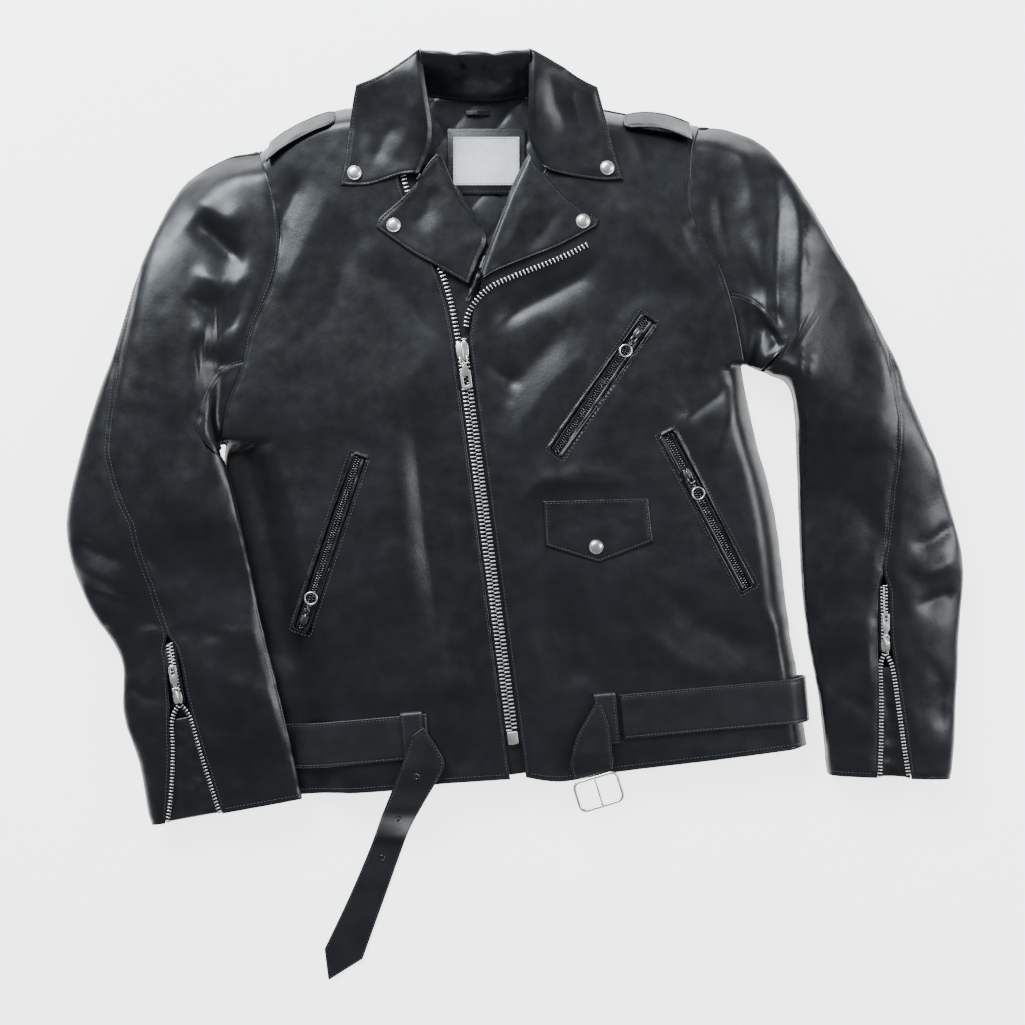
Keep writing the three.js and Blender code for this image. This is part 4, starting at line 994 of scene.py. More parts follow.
lapelTop = collar["rest"]
rightLapel = makeLeaf("right_lapel_skin", [
    [(-136, 284), (-102, 260), (-77, 246), (-42, 226)],
    [(-92, 333), (-86, 345), (-80, 353), (-72, 361)],
    [(-136, 284), (-132, 294), (-117, 307), (-102, 321), (-92, 333)],
    [(-42, 226), (-34, 250), (-25, 272), (-33, 290), (-49, 312), (-60, 332), (-72, 361)]],
    lambda x, y: np.full(np.shape(x), lapelTop), 3, 27, "right_lapel", ["right_lapel"],
    stops(100, 2.2), stops(120, 2.4),
    [([(-50, 240), (-72, 268), (-84, 300)], 1.1, 12, 12),
     ([(-100, 282), (-86, 300), (-80, 326)], -1.5, 9, 12)])
leftLapel = makeLeaf("left_lapel_skin", [
    [(-45, 208), (-40, 222), (-27, 234), (-12, 242), (18, 254), (48, 266), (84, 285)],
    [(17, 360), (23, 347), (33, 337), (48, 320), (63, 307), (87, 293)],
    [(-45, 208), (-35, 232), (-28, 252), (-20, 274), (-4, 317), (10, 347), (17, 360)],
    [(84, 285), (87, 293)]],
    lambda x, y: np.full(np.shape(x), lapelTop), 2, 30, "left_lapel", ["left_lapel"],
    stops(120, 2.2), stops(110, 2.4, edgeSteps, edgeSteps),
    [([(-20, 250), (4, 276), (18, 318)], 1.1, 10, 14), ([(10, 262), (30, 280), (48, 306)], -1.4, 9, 9)])
sewOn("right_lapel_stitches", [edgeRun(rightLapel, "v0", 3.4, (3.4, 3)),
                               edgeRun(rightLapel, "u0", 3.4, (3.4, 3)),
                               edgeRun(rightLapel, "v1", 3.4, (3.4, 3))], "right_lapel")
sewOn("left_lapel_stitches", [edgeRun(leftLapel, "v0", 3.4, (3, 3.4)),
                              edgeRun(leftLapel, "v1", 3.4, (3, 3.4))],
      "left_lapel")
print("collar and lapels laid")

# --- epaulets ---

epaulet = {"width": 34, "wall": 2.4, "off": 0.5}


def makeEpaulet(side, shoulderY, fromX, toX, arch):
    slope = math.sqrt(0.5)

    def place(u, v):
        x = mix(fromX, toX, u)
        off = epaulet["off"] + arch * np.sin(np.pi * u) + epaulet["wall"]
        tip = np.clip((u - 0.86) / 0.14, 0, 1)
        width = epaulet["width"] * mix(1, 0.8, u) * np.sqrt(1 - 0.55 * tip ** 2) * (v - 0.5)
        y = shoulderY(x) - 13 + off * slope - width * slope
        z = roll(13.0) + off * slope + width * slope
        return np.stack([x, y, z], -1)

    def detail(base, border, normals):
        x, y = base[..., 0], base[..., 1]
        return 0.3 * softNoise(x, y, 16, 12) * smooth(border, 0, 6) + pucker(base, border, 0.3,
                                                                             6) + seamGroove(border)
    surface = skin(side + "_epaulet_skin", {"us": stops(72, 2.2), "vs": stops(34, 2),
                                            "wall": epaulet["wall"]},
                   place, detail, leather, side + "_epaulet", [side + "_epaulet"])
    sewOn(side + "_epaulet_stitches", [edgeRun(surface, "v0", 3.3, (3.3, 3.3)),
                                       edgeRun(surface, "v1", 3.3, (3.3, 3.3)),
                                       edgeRun(surface, "u1", 3.3, (3.3, 3.3))], side + "_epaulet")


makeEpaulet("right", rightShoulderY, -246, -178, 0)
makeEpaulet("left", leftShoulderY, 180, 112, 7)
print("epaulets laid")

# --- zips ---

zipLook = {"pitch": 4.0, "tooth": (5.6, 1.75, 2.1), "row": 2.75, "tapeTop": 27.3, "toothMiddle": 28.5}


# One tooth across a tape, its nose towards +X.
def tooth(size):
    bm = bmesh.new()
    bmesh.ops.create_cube(bm, size=1)
    bmesh.ops.scale(bm, vec=size, verts=bm.verts)
    for vert in bm.verts:
        if vert.co.x > 0:
            vert.co.y *= 0.62
            vert.co.z *= 0.8
    bmesh.ops.bevel(bm, geom=bm.edges[:], offset=0.3, offset_type="OFFSET", segments=1, profile=0.5,
                    affect="EDGES", material=-1)
    bm.verts.index_update()
    return bm


def row3(line, z):
    line = np.array(line, float)[:, :2]
    return np.column_stack([line, np.full(len(line), float(z))])


# Teeth along a line; turned rows point their noses to the left of the line.
def toothPlaces(line, pitch, side, phase):
    found = alongLine(line, pitch, 0, phase)
    return found if side > 0 else [m @ Matrix.Rotation(math.pi, 4, "Z") for m in found]


def tapeSkin(name, line, low, high, z, body_, replaces, step=3.0, material=None,
             wall=0.9):
    line = resample(np.array(line, float)[:, :2], step)
    lowEdge, highEdge = byLength(offset(line, low)), byLength(offset(line, high))

    def place(u, v):
        q = mix(lowEdge(u), highEdge(u), np.asarray(v)[..., None])
        return np.concatenate([q, np.full(q.shape[:-1] + (1,), float(z))], -1)
    return skin(name, {"us": np.linspace(0, 1, len(line)), "vs": np.linspace(0, 1, 5), "wall": wall,
                       "edge": 0.3},
                place, lambda base, border, normals: 0 * border, material or tape, body_, replaces)


zipStart = 16
rightUpperTeeth = spaced(rightZipUpper, 60)
rightRow = np.vstack([[zipPoint(zipStart)], [zipPoint(zipLength)], rightUpperTeeth[1:]])
leftRow = np.array([zipPoint(zipStart), zipPoint(zipLength + 3)])
upperRow = catmull([(-46.5, 184), (-45, 196), (-39, 208), (-26, 222), (-10, 231), (20, 243), (50, 255),
                    (76, 268)])

tapeSkin("right_zip_tape", rightRow, -7.6, -0.3, zipLook["tapeTop"], "root", ["main_zip_right_chain"])
tapeSkin("left_zip_tape", leftRow, 0.3, 7.6, zipLook["tapeTop"], "root", ["main_zip_left_chain"])
tapeSkin("upper_zip_tape", upperRow, -3.1, 1.2, 31.6, "left_lapel", ["main_zip_left_upper_chain"])
copies("right_zip_teeth", tooth(zipLook["tooth"]),
       toothPlaces(row3(offset(resample(rightRow, 2), -zipLook["row"]), zipLook["toothMiddle"]),
                   zipLook["pitch"], 1, 0.25), toothMetal, "root")
copies("left_zip_teeth", tooth(zipLook["tooth"]),
       toothPlaces(row3(offset(resample(leftRow, 2), zipLook["row"]), zipLook["toothMiddle"]),
                   zipLook["pitch"], -1, 0.75), toothMetal, "root")
copies("upper_zip_teeth", tooth((5.2, 1.75, 2.1)),
       toothPlaces(row3(offset(resample(upperRow, 2), 0.8), 32.4), zipLook["pitch"], 1, 0.5), toothMetal,
       "left_lapel")


def toWorld(matrix, points):
    return [matrix @ Vector(p) for p in points]


def circle(radius, middle=(0, 0, 0), plane="xy", count=28):
    found = []
    for k in range(count):
        a = 2 * math.pi * k / count
        c, s = radius * math.cos(a), radius * math.sin(a)
        spot = {"xy": (c, s, 0), "yz": (0, c, s), "xz": (c, 0, s)}[plane]
        found.append(tuple(m + q for m, q in zip(middle, spot)))
    return found


def hingeFrame(jointName):
    joint = next(j for j in frame["joints"] if j["name"] == jointName)
    across = Vector(joint["axis"]) * -1
    up = Vector((0, 0, 1))
    found = Matrix((across, up.cross(across), up)).transposed().to_4x4()
    found.translation = Vector(joint["pos_m"]) / mm
    return found


# The slider's body in its own frame: +Y towards where the rows part.
def sliderBody(width, length, thick):
    w, h = width / 2, length / 2
    outline = [(-w * 0.55, -h), (w * 0.55, -h), (w, -h * 0.35), (w, h * 0.55), (w * 0.72, h), (w * 0.3, h),
               (0, h * 0.72), (-w * 0.3, h), (-w * 0.72, h), (-w, h * 0.55), (-w, -h * 0.35)]
    return plate(outline, thick, 0.45)


def makeSlider(name, joint, width, length, top, reach, ear, metal=None):
    hinge = hingeFrame(joint)
    metal = metal or nickel
    lift = hinge.translation.z - top
    middle = hinge @ Matrix.Translation((0, reach, -lift))
    isMain = name == "main_slider"
    copies(name + "_plate", sliderBody(width, length, 1.7), [middle @ Matrix.Translation((0, 0, -1.7))],
           metal, name, ["main_zip_slider" if isMain else name])
    for side in (-1, 1):
        path = [(side * ear, reach - length * 0.3, -lift - 0.2),
                (side * ear, reach - length * 0.42, 0.5 - lift / 2),
                (side * ear, 1.2, 0.2), (side * ear, 0, 0)]
        wire(f"{name}_ear_{'left' if side > 0 else 'right'}", toWorld(hinge, path), 0.75, metal, name)
    wire(name + "_bar", toWorld(hinge, [(-ear - 0.4, 0, 0), (ear + 0.4, 0, 0)]), 0.75, metal, name)
    bridge = [(0, reach + length * 0.36, -lift - 0.3), (0, reach + length * 0.28, 0.6 - lift),
              (0, reach, 1.3 - lift), (0, reach - length * 0.3, 1.2 - lift),
              (0, reach - length * 0.42, -lift)]
    wire(name + "_bridge", toWorld(hinge, bridge), 0.95, metal, name)
    return hinge


def tabOutline(neck, width, start, end, corner):
    return [(-neck / 2, -1.2), (neck / 2, -1.2), (neck / 2, -start + 2), (width / 2, -start - 2),
            (width / 2, -end + corner), (width / 2 - corner * 0.3, -end + corner * 0.3),
            (width / 2 - corner, -end), (-width / 2 + corner, -end),
            (-width / 2 + corner * 0.3, -end + corner * 0.3),
            (-width / 2, -end + corner), (-width / 2, -start - 2), (-neck / 2, -start + 2)][::-1]


def makeTabPull(name, hinge, node, neck, width, start, end, hole):
    outline = tabOutline(neck, width, start, end, 2.2)
    slotHole = [(x, y - (start + end) / 2 + hole[2]) for x, y in roundedBox(hole[0], hole[1], 1.2)]
    holes = [slotHole[::-1]]
    copies(name + "_tab", plate(outline, 1.5, 0.35, 2, holes), [hinge @ Matrix.Translation((0, 0, -0.75))],
           nickel, name, [node])
    wire(name + "_eye", toWorld(hinge, circle(1.6, plane="yz", count=18)), 0.6, nickel, name,
         closed=True)


def makeRingPull(name, hinge, node):
    ring = [(x, y - 12, 0) for x, y, z in circle(6.0, count=36)]
    piece = wire(name + "_ring", toWorld(hinge, ring), 0.8, nickel, name, closed=True, sides=4)
    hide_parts(node)
    for k, (y, plane) in enumerate(((-1.2, "yz"), (-3.4, "xy"), (-5.4, "yz"))):
        link = [(p[0] * 0.8, p[1] * 1.25 + y, p[2]) for p in circle(1.25, plane=plane, count=14)]
        wire(f"{name}_link_{k + 1}", toWorld(hinge, link), 0.4, darkTooth, name, closed=True)


def makeMainZip():
    hinge = makeSlider("main_slider", "main_pull_hinge", 12.4, 20, 32.4, 12.9, 3.6)
    makeTabPull("main_pull", hinge, "main_zip_pull", 4.6, 10.6, 6.5, 25.6, (5.2, 9.5, -1.5))
    box = frameAt((*zipPoint(zipStart - 6.9), 26.9), (*zipAlong, 0))
    copies("zip_retainer", plate(roundedBox(10.6, 12.6, 1.4), 4.3, 0.6, 3), [box], nickel, "root",
           ["main_zip_box"])


makeMainZip()
print("front zip made")

# --- pockets ---

def makePocket(name, look):
    foot, head = np.array(look["foot"], float), np.array(look["head"], float)
    length = float(np.linalg.norm(head - foot))
    along = (head - foot) / length
    across = np.array([along[1], -along[0]])
    middle = (foot + head) / 2

    def world(x, y):
        return middle + across * np.asarray(x)[..., None] + along * np.asarray(y)[..., None]

    # the opening's turned edge: a ring whose section swells and turns down into the window
    ring = np.array(roundedBox(pocketOpening, length, 1.2, 3))
    ring = np.vstack([ring, ring[:1]])
    line = resample(ring, 1.8)
    inward = offset(line, 1.0) - line
    lineAt, outAt = byLength(line), byLength(inward)
    profile = byLength(np.array([(5.2, -0.4), (4.4, 0.25), (3.4, 0.2), (2.6, 0.65), (1.5, 0.95),
                                 (0.7, 0.8), (0.1, 0.2), (-0.1, -0.8), (-0.1, -2.6)]))

    def place(u, v):
        q, p = lineAt(u), profile(v)
        o = outAt(u)
        o = o / np.linalg.norm(o, axis=-1)[..., None]
        local = q + o * p[..., :1]
        spot = world(local[..., 0], local[..., 1])
        return np.concatenate([spot, (30.15 + p[..., 1])[..., None]], -1)

    def detail(base, border, normals):
        return 0.22 * softNoise(base[..., 0], base[..., 1], 5.5, 6) * np.clip(normals[..., 2], 0, 1)
    skin(name + "_edge", {"us": np.linspace(0, 1, len(line)), "vs": np.linspace(0, 1, 15), "wall": 0.7,
                          "edge": 0.01},
         place, detail, leather, "root", [name + "_welt"])
    stitchLine = np.array(roundedBox(pocketOpening + 7.2, length + 7.2, 2.5, 4))
    stitchLine = np.vstack([stitchLine, stitchLine[:1]])
    spots = world(stitchLine[:, 0], stitchLine[:, 1])
    pocketStitches.append(np.column_stack([spots, np.full(len(spots), 30.42)]))

    # folded leather lips on both sides of the teeth
    for side, inner, seed in ((-1, 2.6, 3), (1, 2.6, 8)):
        def lip(u, v, side=side):
            x = side * mix(inner, pocketOpening / 2 - 0.4, v)
            y = (u - 0.5) * (length - 1)
            spot = world(x, y)
            z = 26.9 + 1.7 * np.sqrt(np.clip(1 - (2 * v - 1) ** 2, 0, 1)) + 0.3 * v
            return np.concatenate([spot, z[..., None]], -1)

        def lipDetail(base, border, normals, side=side, seed=seed):
            run = base[..., 0] * along[0] + base[..., 1] * along[1]
            waves = (0.55 if side > 0 else 0.15) * softNoise(run, np.zeros_like(run), 9, seed)
            return waves * np.clip(normals[..., 2], 0, 1)
        skin(f"{name}_lip_{'left' if side > 0 else 'right'}",
             {"us": np.linspace(0, 1, 90), "vs": np.linspace(0, 1, 9), "wall": 0.8, "edge": 0.01}, lip,
             lipDetail, facingLeather, "root", [])
    tapeSkin(name + "_tape", [foot, head], -7.2, 7.2, 27.0, "root", [name + "_zip"])
    rows = [offset(np.array([foot + along, head - along]), s * 1.35) for s in (-1, 1)]
    copies(name + "_teeth", tooth((2.9, 1.15, 1.5)),
           toothPlaces(row3(resample(rows[0], 3), 28.0), 2.5, 1, 0.25)
           + toothPlaces(row3(resample(rows[1], 3), 28.0), 2.5, -1, 0.75), darkTooth, "root")
    hinge = makeSlider(name + "_slider", name + "_pull_hinge", 7.6, 11.6, 33.2, 9.3, 2.4, darkTooth)
    makeRingPull(name + "_pull", hinge, name + "_pull")


pocketStitches = []
for pocketName, pocketLook in pockets.items():
    makePocket(pocketName, pocketLook)
sewOn("pocket_stitches", pocketStitches, "root")
print("pockets made")

# --- coin pocket flap ---

flapLook = {"thick": 2.0, "rest": 32.5}


def makeFlap():
    south = byLength(np.array([(33, -34), (60, -42.5), (87, -51), (114, -40.5), (141, -30)], float))
    north = byLength(np.array([(31, 11), (136, 14)], float))
    west = byLength(np.array([(33, -34), (31, 11)], float))
    east = byLength(np.array([(141, -30), (136, 14)], float))
    plan = coons(south, north, west, east)

    def place(u, v):
        q = plan(u, v)
        return np.concatenate([q, np.full(q.shape[:-1] + (1,), flapLook["rest"])], -1)

    def detail(base, border, normals):
        x, y = base[..., 0], base[..., 1]
        found = creases(x, y, 33, 0.3, 0.35, 0.12) + foldsOf(x, y, [
            ([(60, 12), (66, -4), (62, -22)], -0.9, 8, 10),
            ([(112, 12), (106, -6), (112, -26)], -0.8, 10, 8)])
        return np.minimum(found, 0.5) * smooth(border, 0, 9) + pucker(base, border, 0.3, 6, 6) \
            + seamGroove(border, 3.6, 0.25)
    surface = skin("coin_flap_skin", {"us": stops(108, 2), "vs": stops(56, 2), "wall": flapLook["thick"],
                                      "edge": 1.2},
                   place, detail, leather, "coin_flap", ["coin_pocket_flap"])
    sides = ("u0", "u1", "v0", "v1")
    sewOn("coin_flap_stitches", [edgeRun(surface, side, 3.6, (3.6, 3.6)) for side in sides], "coin_flap")


makeFlap()


# --- snaps ---

snapProfile = [(0, 2.6), (2.4, 2.5), (4.4, 2.1), (5.6, 1.5), (6.05, 1.0), (6.45, 1.15), (6.95, 1.05),
               (7.25, 0.6), (7.1, 0.1), (6.4, 0), (0, 0)]


def makeSnap(name, node, body_):
    low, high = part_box(node)
    middle = (low + high) / 2 / mm
    bm = bmesh.new()
    verts = [bm.verts.new((x, 0, z)) for x, z in snapProfile]
    edges = [bm.edges.new(pair) for pair in zip(verts[:-1], verts[1:])]
    bmesh.ops.spin(bm, geom=verts + edges, cent=(0, 0, 0), axis=(0, 0, 1), angle=2 * math.pi, steps=36,
                   use_merge=True, use_duplicate=False)
    bmesh.ops.remove_doubles(bm, verts=bm.verts, dist=0.001)
    bmesh.ops.recalc_face_normals(bm, faces=bm.faces)
    bmesh.ops.translate(bm, vec=(middle.x, middle.y, low.z / mm), verts=bm.verts)
    finished(bm, name, nickel, body_, [node], 40)


for snapName, snapBody in (("right_collar_snap", "right_collar"), ("left_collar_snap", "left_collar"),
                           ("right_lapel_snap", "right_lapel"), ("left_lapel_snap", "left_lapel"),
                           ("coin_flap_snap", "coin_flap")):
    makeSnap(snapName + "_cap", snapName, snapBody)
print("flap and snaps made")

# --- label and hanger ---

def makeLabel():
    low, high = (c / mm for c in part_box("label_patch"))
    middle = (low + high) / 2
    patch = Matrix.Translation((middle.x, middle.y, low.z))
    copies("patch_leather", plate(roundedBox(80, 67, 2.5), 1.4, 0.5), [patch], facingLeather, "root",
           ["label_patch"])
    low2, high2 = (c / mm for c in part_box("label"))
    width, height = high2.x - low2.x, high2.y - low2.y

    def place(u, v):
        return np.stack([low2.x + width * u, low2.y + height * v, high2.z + 0 * u], -1)
    surface = skin("blank_label", {"us": stops(width, 1.6), "vs": stops(height, 1.6), "wall": 0.5,
                                   "edge": 0.3},
                   place, lambda base, border, normals: 0.12 * softNoise(base[..., 0], base[..., 1], 11, 3)
                   - 0.2 * np.exp(-((border - 1.6) / 0.8) ** 2), labelCloth, "root",
                   ["label"])
    sides = [edgeRun(surface, side, 1.7, (1.7, 1.7)) for side in ("u0", "u1", "v0", "v1")]
    sewOn("label_stitches", sides, "root")
    border = np.array(roundedBox(74, 61, 2))
    ring = np.vstack([border, border[:1]]) + np.array([middle.x, middle.y])
    sewOn("patch_stitches", [np.column_stack([ring, np.full(len(ring), high.z - 0.05)])], "root")


def makeHanger():
    line = byLength(np.array([(-47, 6.0), (-45, 6.1), (-40, 7.4), (-35, 8.0), (-30, 7.4), (-25, 6.1),
                              (-23, 6.0)]))

    def place(u, v):
        q = line(u)
        return np.stack([q[..., 0], 405 + 6 * (v - 0.5), q[..., 1] + 1.2], -1)
    skin("hanger_strap", {"us": np.linspace(0, 1, 30), "vs": np.linspace(0, 1, 7), "wall": 1.0,
                          "edge": 0.5}, place,
         lambda base, border, normals: 0.1 * softNoise(base[..., 0], base[..., 1], 4, 2), leather, "root",
         ["hanger_loop"])


makeLabel()
makeHanger()
print("label and hanger made")

# --- cuffs ---

def makeCuff(side):
    plan = shapes[side][0]
    start, top = cuffLook[side]["from"], cuffLook[side]["top"]

    def edge(which, inset):
        found = []
        for t in (0.12, 0.4, 0.7, 0.985):
            u = mix(start, 1, t)
            width = np.linalg.norm(plan(u, 0.0) - plan(u, 1.0))
            found.append(plan(u, seamV(side, which, u) + inset / width))
        return found

    def middle(u):
        return plan(u, (seamV(side, "front", u) + seamV(side, "back", u)) / 2)
    junction, head = middle(start), middle(top)
    z = cuffLook["seat"]
    rows = {"front": (catmull([junction, *edge("front", cuffLook["inset"])]), 1),
            "back": (catmull([junction, *edge("back", -cuffLook["inset"])]), -1)}
    name = side + "_cuff"
    places = []
    closed = np.array([head, junction])
    towardBack = 1 if side == "right" else -1
    for offsetBy, turn, phase in ((-1.3, 1, 0.25), (1.3, -1, 0.75)):
        places += toothPlaces(row3(offset(resample(closed, 3), offsetBy), z + 1.4), 3.3, turn, phase)
    for which, (line, sign) in rows.items():
        places += toothPlaces(row3(resample(line, 2), z + 1.4), 3.3, sign * towardBack, 0.9)
    for which, (line, sign) in rows.items():
        tapeSkin(f"{name}_tape_{which}", line, -2.0, 2.0, z + 0.5, "root",
                 [name + "_zip"] if sign > 0 else [])
    tapeSkin(name + "_tape_closed", closed, -5.6, 5.6, z + 0.5, "root", [])
    copies(name + "_teeth", tooth((4.4, 1.5, 1.7)), places, toothMetal, "root")
    hinge = makeSlider(name + "_slider", name + "_pull_hinge", 8.8, 12.6, 36.2, 9.3, 2.7)
    makeTabPull(name + "_pull", hinge, name + "_pull", 3.4, 7.6, 5.2, 22.6, (3.6, 6.5, -3.0))
    rowA = byKnot(catmull(edge("front", cuffLook["inset"])))
    rowB = byKnot(catmull(edge("back", -cuffLook["inset"])))

    def place(u, v):
        q = mix(rowA(v), rowB(v), np.asarray(u)[..., None])
        drop = 5 * np.sin(np.pi * u) * v
        return np.concatenate([q, (z - 0.45 - drop)[..., None]], -1)

    def detail(base, border, normals):
        x, y = base[..., 0], base[..., 1]
        return -0.5 + 0.45 * softNoise(x, y, 9, 14) * smooth(border, 0, 5)
    skin(name + "_gusset_skin", {"us": np.linspace(0, 1, 26), "vs": np.linspace(0, 1, 46), "wall": 1.1,
                                 "edge": 0.4},
         place, detail, facingLeather, "root", [name + "_gusset"])


for cuffSide in ("right", "left"):
    makeCuff(cuffSide)
print("cuffs made")

# --- belt ---

beltLook = {"width": 45, "thick": 2.8, "slope": 0.09, "on": 30.4, "tuck": 17.2}
loopAt = {"right": (-98.5, -225), "left": (94.5, -206)}


def makeBelt():
    on, thick, tuck = beltLook["on"], beltLook["thick"], beltLook["tuck"]
    leftX, rightX = float(leftSideX(-188)) + 3, float(rightSideX(-243)) - 4.5

    def leftY(x):
        return mix(-206, -188, (x - loopAt["left"][0]) / (leftX - loopAt["left"][0]))

    def rightY(x):
        return mix(-225, -243, (x - loopAt["right"][0]) / (rightX - loopAt["right"][0]))
    path = [(x, leftY(x), z) for x, z in (
        (loopAt["left"][0] + 15, on), (leftX - 150, on), (leftX - 80, on), (leftX - 32, on),
        (leftX - 14, on - 0.6),
        (leftX - 3.4, 23), (leftX + 1, 14), (leftX + 1.2, 8), (leftX + 0.9, 4.6), (leftX - 0.6, 3.1),
        (leftX - 5, 3), (leftX - 14, 3), (leftX - 60, 3))]
    path += [(0, -215.5, 3)]
    path += [(x, rightY(x), z) for x, z in (
        (rightX + 60, 3), (rightX + 14, 3), (rightX + 5, 3), (rightX + 0.6, 3.1), (rightX - 0.9, 4.6),
        (rightX - 1.2, 8), (rightX - 0.8, 13), (rightX + 4, tuck), (rightX + 30, tuck), (rightX + 66, tuck),
        (rightX + 88, tuck + 0.4), (rightX + 106, on - 4), (rightX + 124, on + 0.2), (rightX + 140, on),
        (loopAt["right"][0] + 15, on))]
    line = resample(path, 1.0)
    for _ in range(3):
        line[1:-1] = (line[:-2] + line[1:-1] + line[2:]) / 3
    line = resample(line, 3.0)
    at = byLength(line)
    across = np.array([-beltLook["slope"], 1, 0])
    across /= np.linalg.norm(across)
    ahead = np.gradient(line, axis=0)
    normal = np.cross(ahead, across)
    normal /= np.linalg.norm(normal, axis=1)[:, None]
    run = distances(line)
    normalAt = reader(normal, run / run[-1])
    outward = 1 if normal[2][2] > 0 else -1

    def place(u, v):
        n = normalAt(u) * outward
        return at(u) + across * (beltLook["width"] * (v - 0.5))[..., None] + n * thick

    def detail(base, border, normals):
        x, y, z = base[..., 0], base[..., 1], base[..., 2]
        waves = 0.35 * softNoise(x, y, 46, 15) * np.where(z > 25, 1, 0) * smooth(border, 0, 10)
        return np.minimum(waves, 0.4) - 0.1 + seamGroove(border, 3.2, 0.25) * np.where(z > 10, 1, 0.3)
    # the strap's own up side is the one that faces away from the jacket all round
    u, v = np.meshgrid(np.linspace(0, 1, len(line)), stops(beltLook["width"], 3), indexing="ij")
    base = place(u, v)
    turned = np.cross(np.gradient(base, axis=0), np.gradient(base, axis=1))
    facing = np.sign(turned[..., 2].mean()) * np.sign(np.sum(turned[3, 3] * normal[3]) * outward)
    surface = skin("belt_strap", {"us": np.linspace(0, 1, len(line)), "vs": stops(beltLook["width"], 3),
                                  "wall": thick, "edge": 1.0, "facing": facing, "open": "u0u1"},
                   place, detail, beltLeather, "root", ["belt_band"])
    sewOn("belt_stitches", [edgeRun(surface, "v0", 3.2, (2, 2)), edgeRun(surface, "v1", 3.2, (2, 2))],
          "root")


def makeEnd(name, edges, height, body_, us, vs, folds, stitched):
    lines = [np.array(e, float) if len(e) < 3 or name == "tail_point" else catmull(e) for e in edges]
    plan = coons(*[byLength(line) for line in lines])

    def detail(base, border, normals):
        x, y = base[..., 0], base[..., 1]
        return foldsOf(x, y, folds) + 0.25 * softNoise(x, y, 30, 17) * smooth(border, 0, 8) \
            + seamGroove(border, 3.2, 0.25)
    surface = skin(name, {"us": us, "vs": vs, "wall": 2.6, "edge": 1.0}, lying(plan, height),
                   detail, beltLeather, body_, [body_])
    sewOn(name + "_stitches", [edgeRun(surface, side, 3.2, (3.2, 3.2)) for side in stitched], body_)
    return surface


def tailHeight(x, y):
    low = mix(3.0, 34.1, smooth(y, -340, -294))
    high = mix(34.1, 39.8, smooth(y, -278, -254))
    return np.where(y > -294, high, low)


def makeBeltEnds():
    tip = np.array([(-191, -445), (-189, -461), (-187, -477), (-169.5, -466), (-152, -455)], float)
    west = catmull([(-191, -445), (-165, -390), (-143, -338), (-128, -298), (-112, -258), (-99, -222)])
    east = catmull([(-152, -455), (-128, -388), (-107, -330), (-91, -296), (-72, -263), (-68, -246),
                    (-88, -214)])
    plan = coons(byLength(tip), byLength(np.array([(-99, -222), (-88, -214)], float)), byLength(west),
                 byLength(east))

    def detail(base, border, normals):
        x, y = base[..., 0], base[..., 1]
        return foldsOf(x, y, [([(-100, -236), (-96, -258), (-100, -284)], 0.8, 6, 8, 1.6, 0.3),
                              ([(-80, -232), (-82, -254), (-92, -276)], -0.8, 6, 6, 1.6, 0.3)]) \
            + 0.25 * softNoise(x, y, 30, 17) * smooth(border, 0, 8) + seamGroove(border, 3.2, 0.25) - 0.05
    tail = skin("belt_tail_strap", {"us": stops(40, 2), "vs": stops(270, 2.6), "wall": 2.6, "edge": 1.0},
                lying(plan, tailHeight), detail, beltLeather, "belt_tail", ["belt_tail"])
    sewOn("belt_tail_stitches", [edgeRun(tail, "u0", 3.2, (3.2, 8)), edgeRun(tail, "u1", 3.2, (3.2, 8)),
                                 edgeRun(tail, "v0", 3.4, (3.2, 3.2))], "belt_tail")
    for k, (x, y) in enumerate(((-95, -263), (-114, -308), (-132, -352))):
        z = float(tailHeight(np.array(x), np.array(y))) + 0.1
        above = float(tailHeight(np.array(x), np.array(y + 4.0)))
        below = float(tailHeight(np.array(x), np.array(y - 4.0)))
        slope = (above - below) / 8
        at = frameAt((x, y, z), (0.35, 0.93, 0.93 * slope))
        wire(f"eyelet_{k + 1}", toWorld(at, circle(2.5, count=26)), 0.75, eyeletDark, "belt_tail",
             closed=True, sides=4)
    makeEnd("buckle_end_strap", [[(62, -268), (100, -257)], [(84, -188), (89, -191)],
                                 [(62, -268), (58, -250), (63, -226), (73, -207), (84, -188)],
                                 [(100, -257), (101, -248), (100, -240), (97, -215), (89, -191)]],
            lambda x, y: mix(33.4, 39.8, smooth(y, -262, -238)), "belt_buckle_end", stops(40, 2),
            stops(78, 2.2),
            [([(78, -256), (76, -236), (82, -212)], -0.9, 6, 7, 1.6, 0.3),
             ([(92, -254), (90, -234), (90, -208)], 0.6, 5, 5, 1.6, 0.3)], ("u0", "u1"))


def makeLoop(side):
    x, y = loopAt[side]
    at = frameAt((x, y, 0), (-beltLook["slope"], 1, 0))
    half = beltLook["width"] / 2 + 1
    line = resample(catmull([(-half - 2.4, 30.5), (-half - 2.2, 33.4), (-half - 0.4, 35.4), (-half + 4, 36.0),
                             (0, 36.1), (half - 4, 36.0), (half + 0.4, 35.4), (half + 2.2, 33.4),
                             (half + 2.4, 30.5)], 8), 1.2)
    read = byLength(line)
    m = np.array(at)

    def place(u, v):
        q = read(v)
        local = np.stack([22 * (u - 0.5), q[..., 0], q[..., 1]], -1)
        return local @ m[:3, :3].T + m[:3, 3]
    surface = skin(side + "_loop_strap", {"us": stops(22, 2.4), "vs": np.linspace(0, 1, len(line)),
                                          "wall": 1.9, "edge": 0.7, "open": "v0v1"},
                   place, lambda base, border, normals: 0.1 * softNoise(base[..., 0], base[..., 1], 12, 5)
                   + seamGroove(border, 2.8, 0.15), beltLeather, "root",
                   [side + "_belt_loop"])
    return [edgeRun(surface, "u0", 2.8, (6, 6)), edgeRun(surface, "u1", 2.8, (6, 6))]


makeBelt()
makeBeltEnds()
sewOn("loop_stitches", makeLoop("right") + makeLoop("left"), "root")


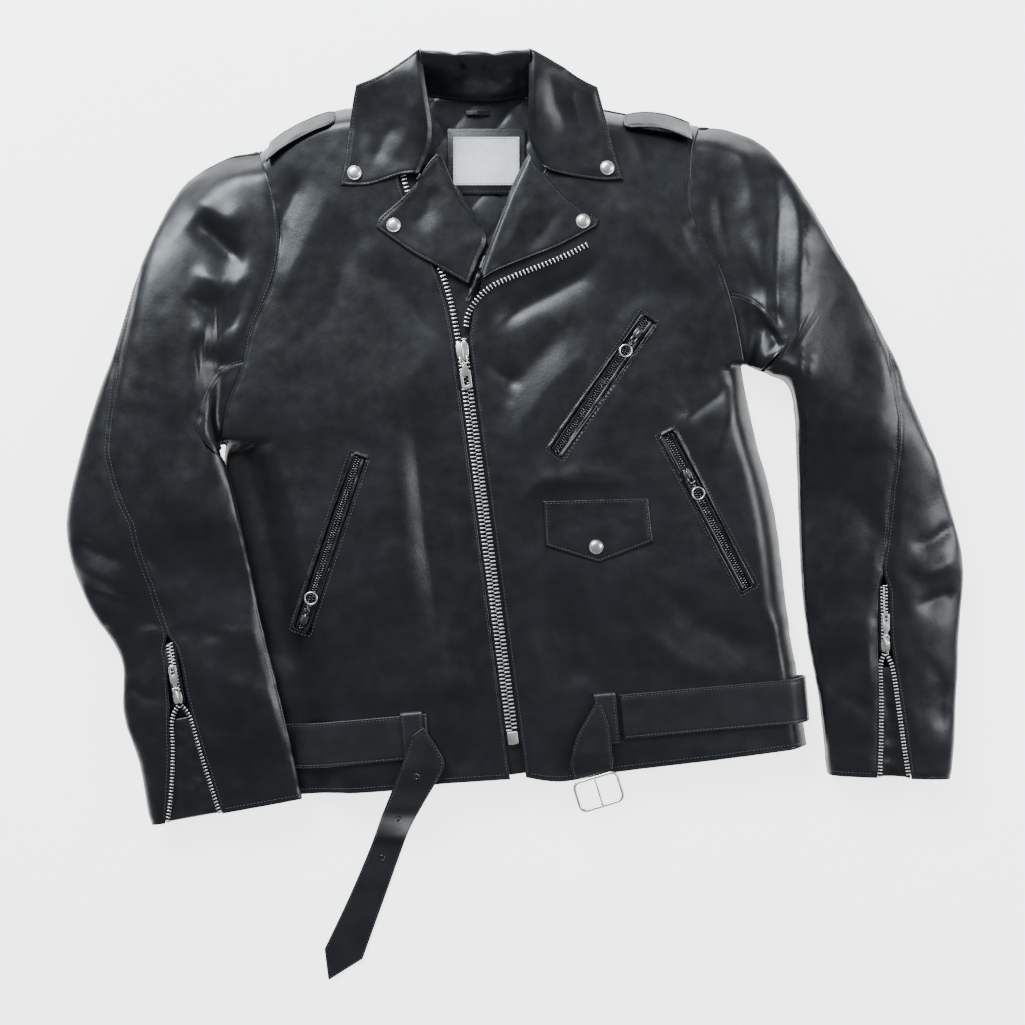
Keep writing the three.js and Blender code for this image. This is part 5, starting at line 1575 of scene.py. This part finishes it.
def makeBuckle():
    at = hingeFrame("buckle_frame_hinge")
    line = [(x, y - 14.8, 0) for x, y in roundedBox(44.6, 29.6, 6.5, 6)]
    piece = wire("buckle_ring", toWorld(at, line), 1.65, nickel, "buckle_frame",
                 closed=True, sides=6)
    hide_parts("buckle_frame")
    tongue = [(0, -1.9, 2.1), (0, -4, 2.75), (0, -12, 2.9), (0, -22, 2.75), (0, -30.6, 2.7)]
    prong = wire("buckle_tongue", toWorld(at, tongue), 1.15, nickel, "buckle_prong",
                 sides=5)
    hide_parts("buckle_prong")
    wire("buckle_tongue_eye", toWorld(at, circle(2.35, plane="yz", count=22)), 0.65, nickel, "buckle_prong",
         closed=True)


makeBuckle()
print("belt and buckle made")

# --- floor, light and camera ---

floorLook = {"size": 9.0, "drop": 0.0004, "glow": 3.0}


def makeStage():
    bm = bmesh.new()
    bmesh.ops.create_grid(bm, x_segments=1, y_segments=1, size=floorLook["size"] / 2)
    bmesh.ops.translate(bm, vec=(0, 0, -floorLook["drop"]), verts=bm.verts)
    mesh = bpy.data.meshes.new("floor")
    bm.to_mesh(mesh)
    bm.free()
    floor = bpy.data.objects.new("floor", mesh)
    scene.collection.objects.link(floor)
    paper = shaded("pale floor", (0.86, 0.86, 0.86), (0.9, 0.9, 0.9), 3, (0.8, 0.9), ())
    shader = paper.node_tree.nodes["Principled BSDF"]
    shader.inputs["Emission Color"].default_value = (1, 1, 1, 1)
    shader.inputs["Emission Strength"].default_value = floorLook["glow"]
    floor.data.materials.append(paper)


makeStage()

lights = {
    "window": {"at": (-0.95, 1.8, 1.5), "size": (1.7, 1.1), "power": 128, "colour": (0.86, 0.94, 1.0)},
    "side": {"at": (2.0, 0.5, 1.5), "size": (0.9, 1.4), "power": 40, "colour": (0.92, 0.96, 1.0)},
}


def makeLights():
    for name, look in lights.items():
        data = bpy.data.lights.new(name, "AREA")
        data.shape = "RECTANGLE"
        data.size, data.size_y = look["size"]
        data.energy, data.color = look["power"], look["colour"]
        lamp = bpy.data.objects.new(name, data)
        scene.collection.objects.link(lamp)
        lamp.location = look["at"]
        lamp.rotation_euler = (Vector((0, 0, 0)) - lamp.location).to_track_quat("-Z", "Y").to_euler()
    world = bpy.data.worlds.new("studio")
    scene.world = world
    world.use_nodes = True
    world.node_tree.nodes["Background"].inputs["Color"].default_value = (0.93, 0.96, 1.0, 1)
    world.node_tree.nodes["Background"].inputs["Strength"].default_value = 0.26


def makeCamera():
    data = bpy.data.cameras.new("above")
    data.lens, data.sensor_width = 52.7, 36
    camera = bpy.data.objects.new("above", data)
    scene.collection.objects.link(camera)
    camera.location = (0.0005, -0.0005, 1.53)
    scene.camera = camera


makeLights()
makeCamera()

sewOn("body_stitches", bodySeams, "root")
sewOn("sleeve_stitches", sleeveSeams, "root")
sewOn("back_stitches", backSeams, "root")
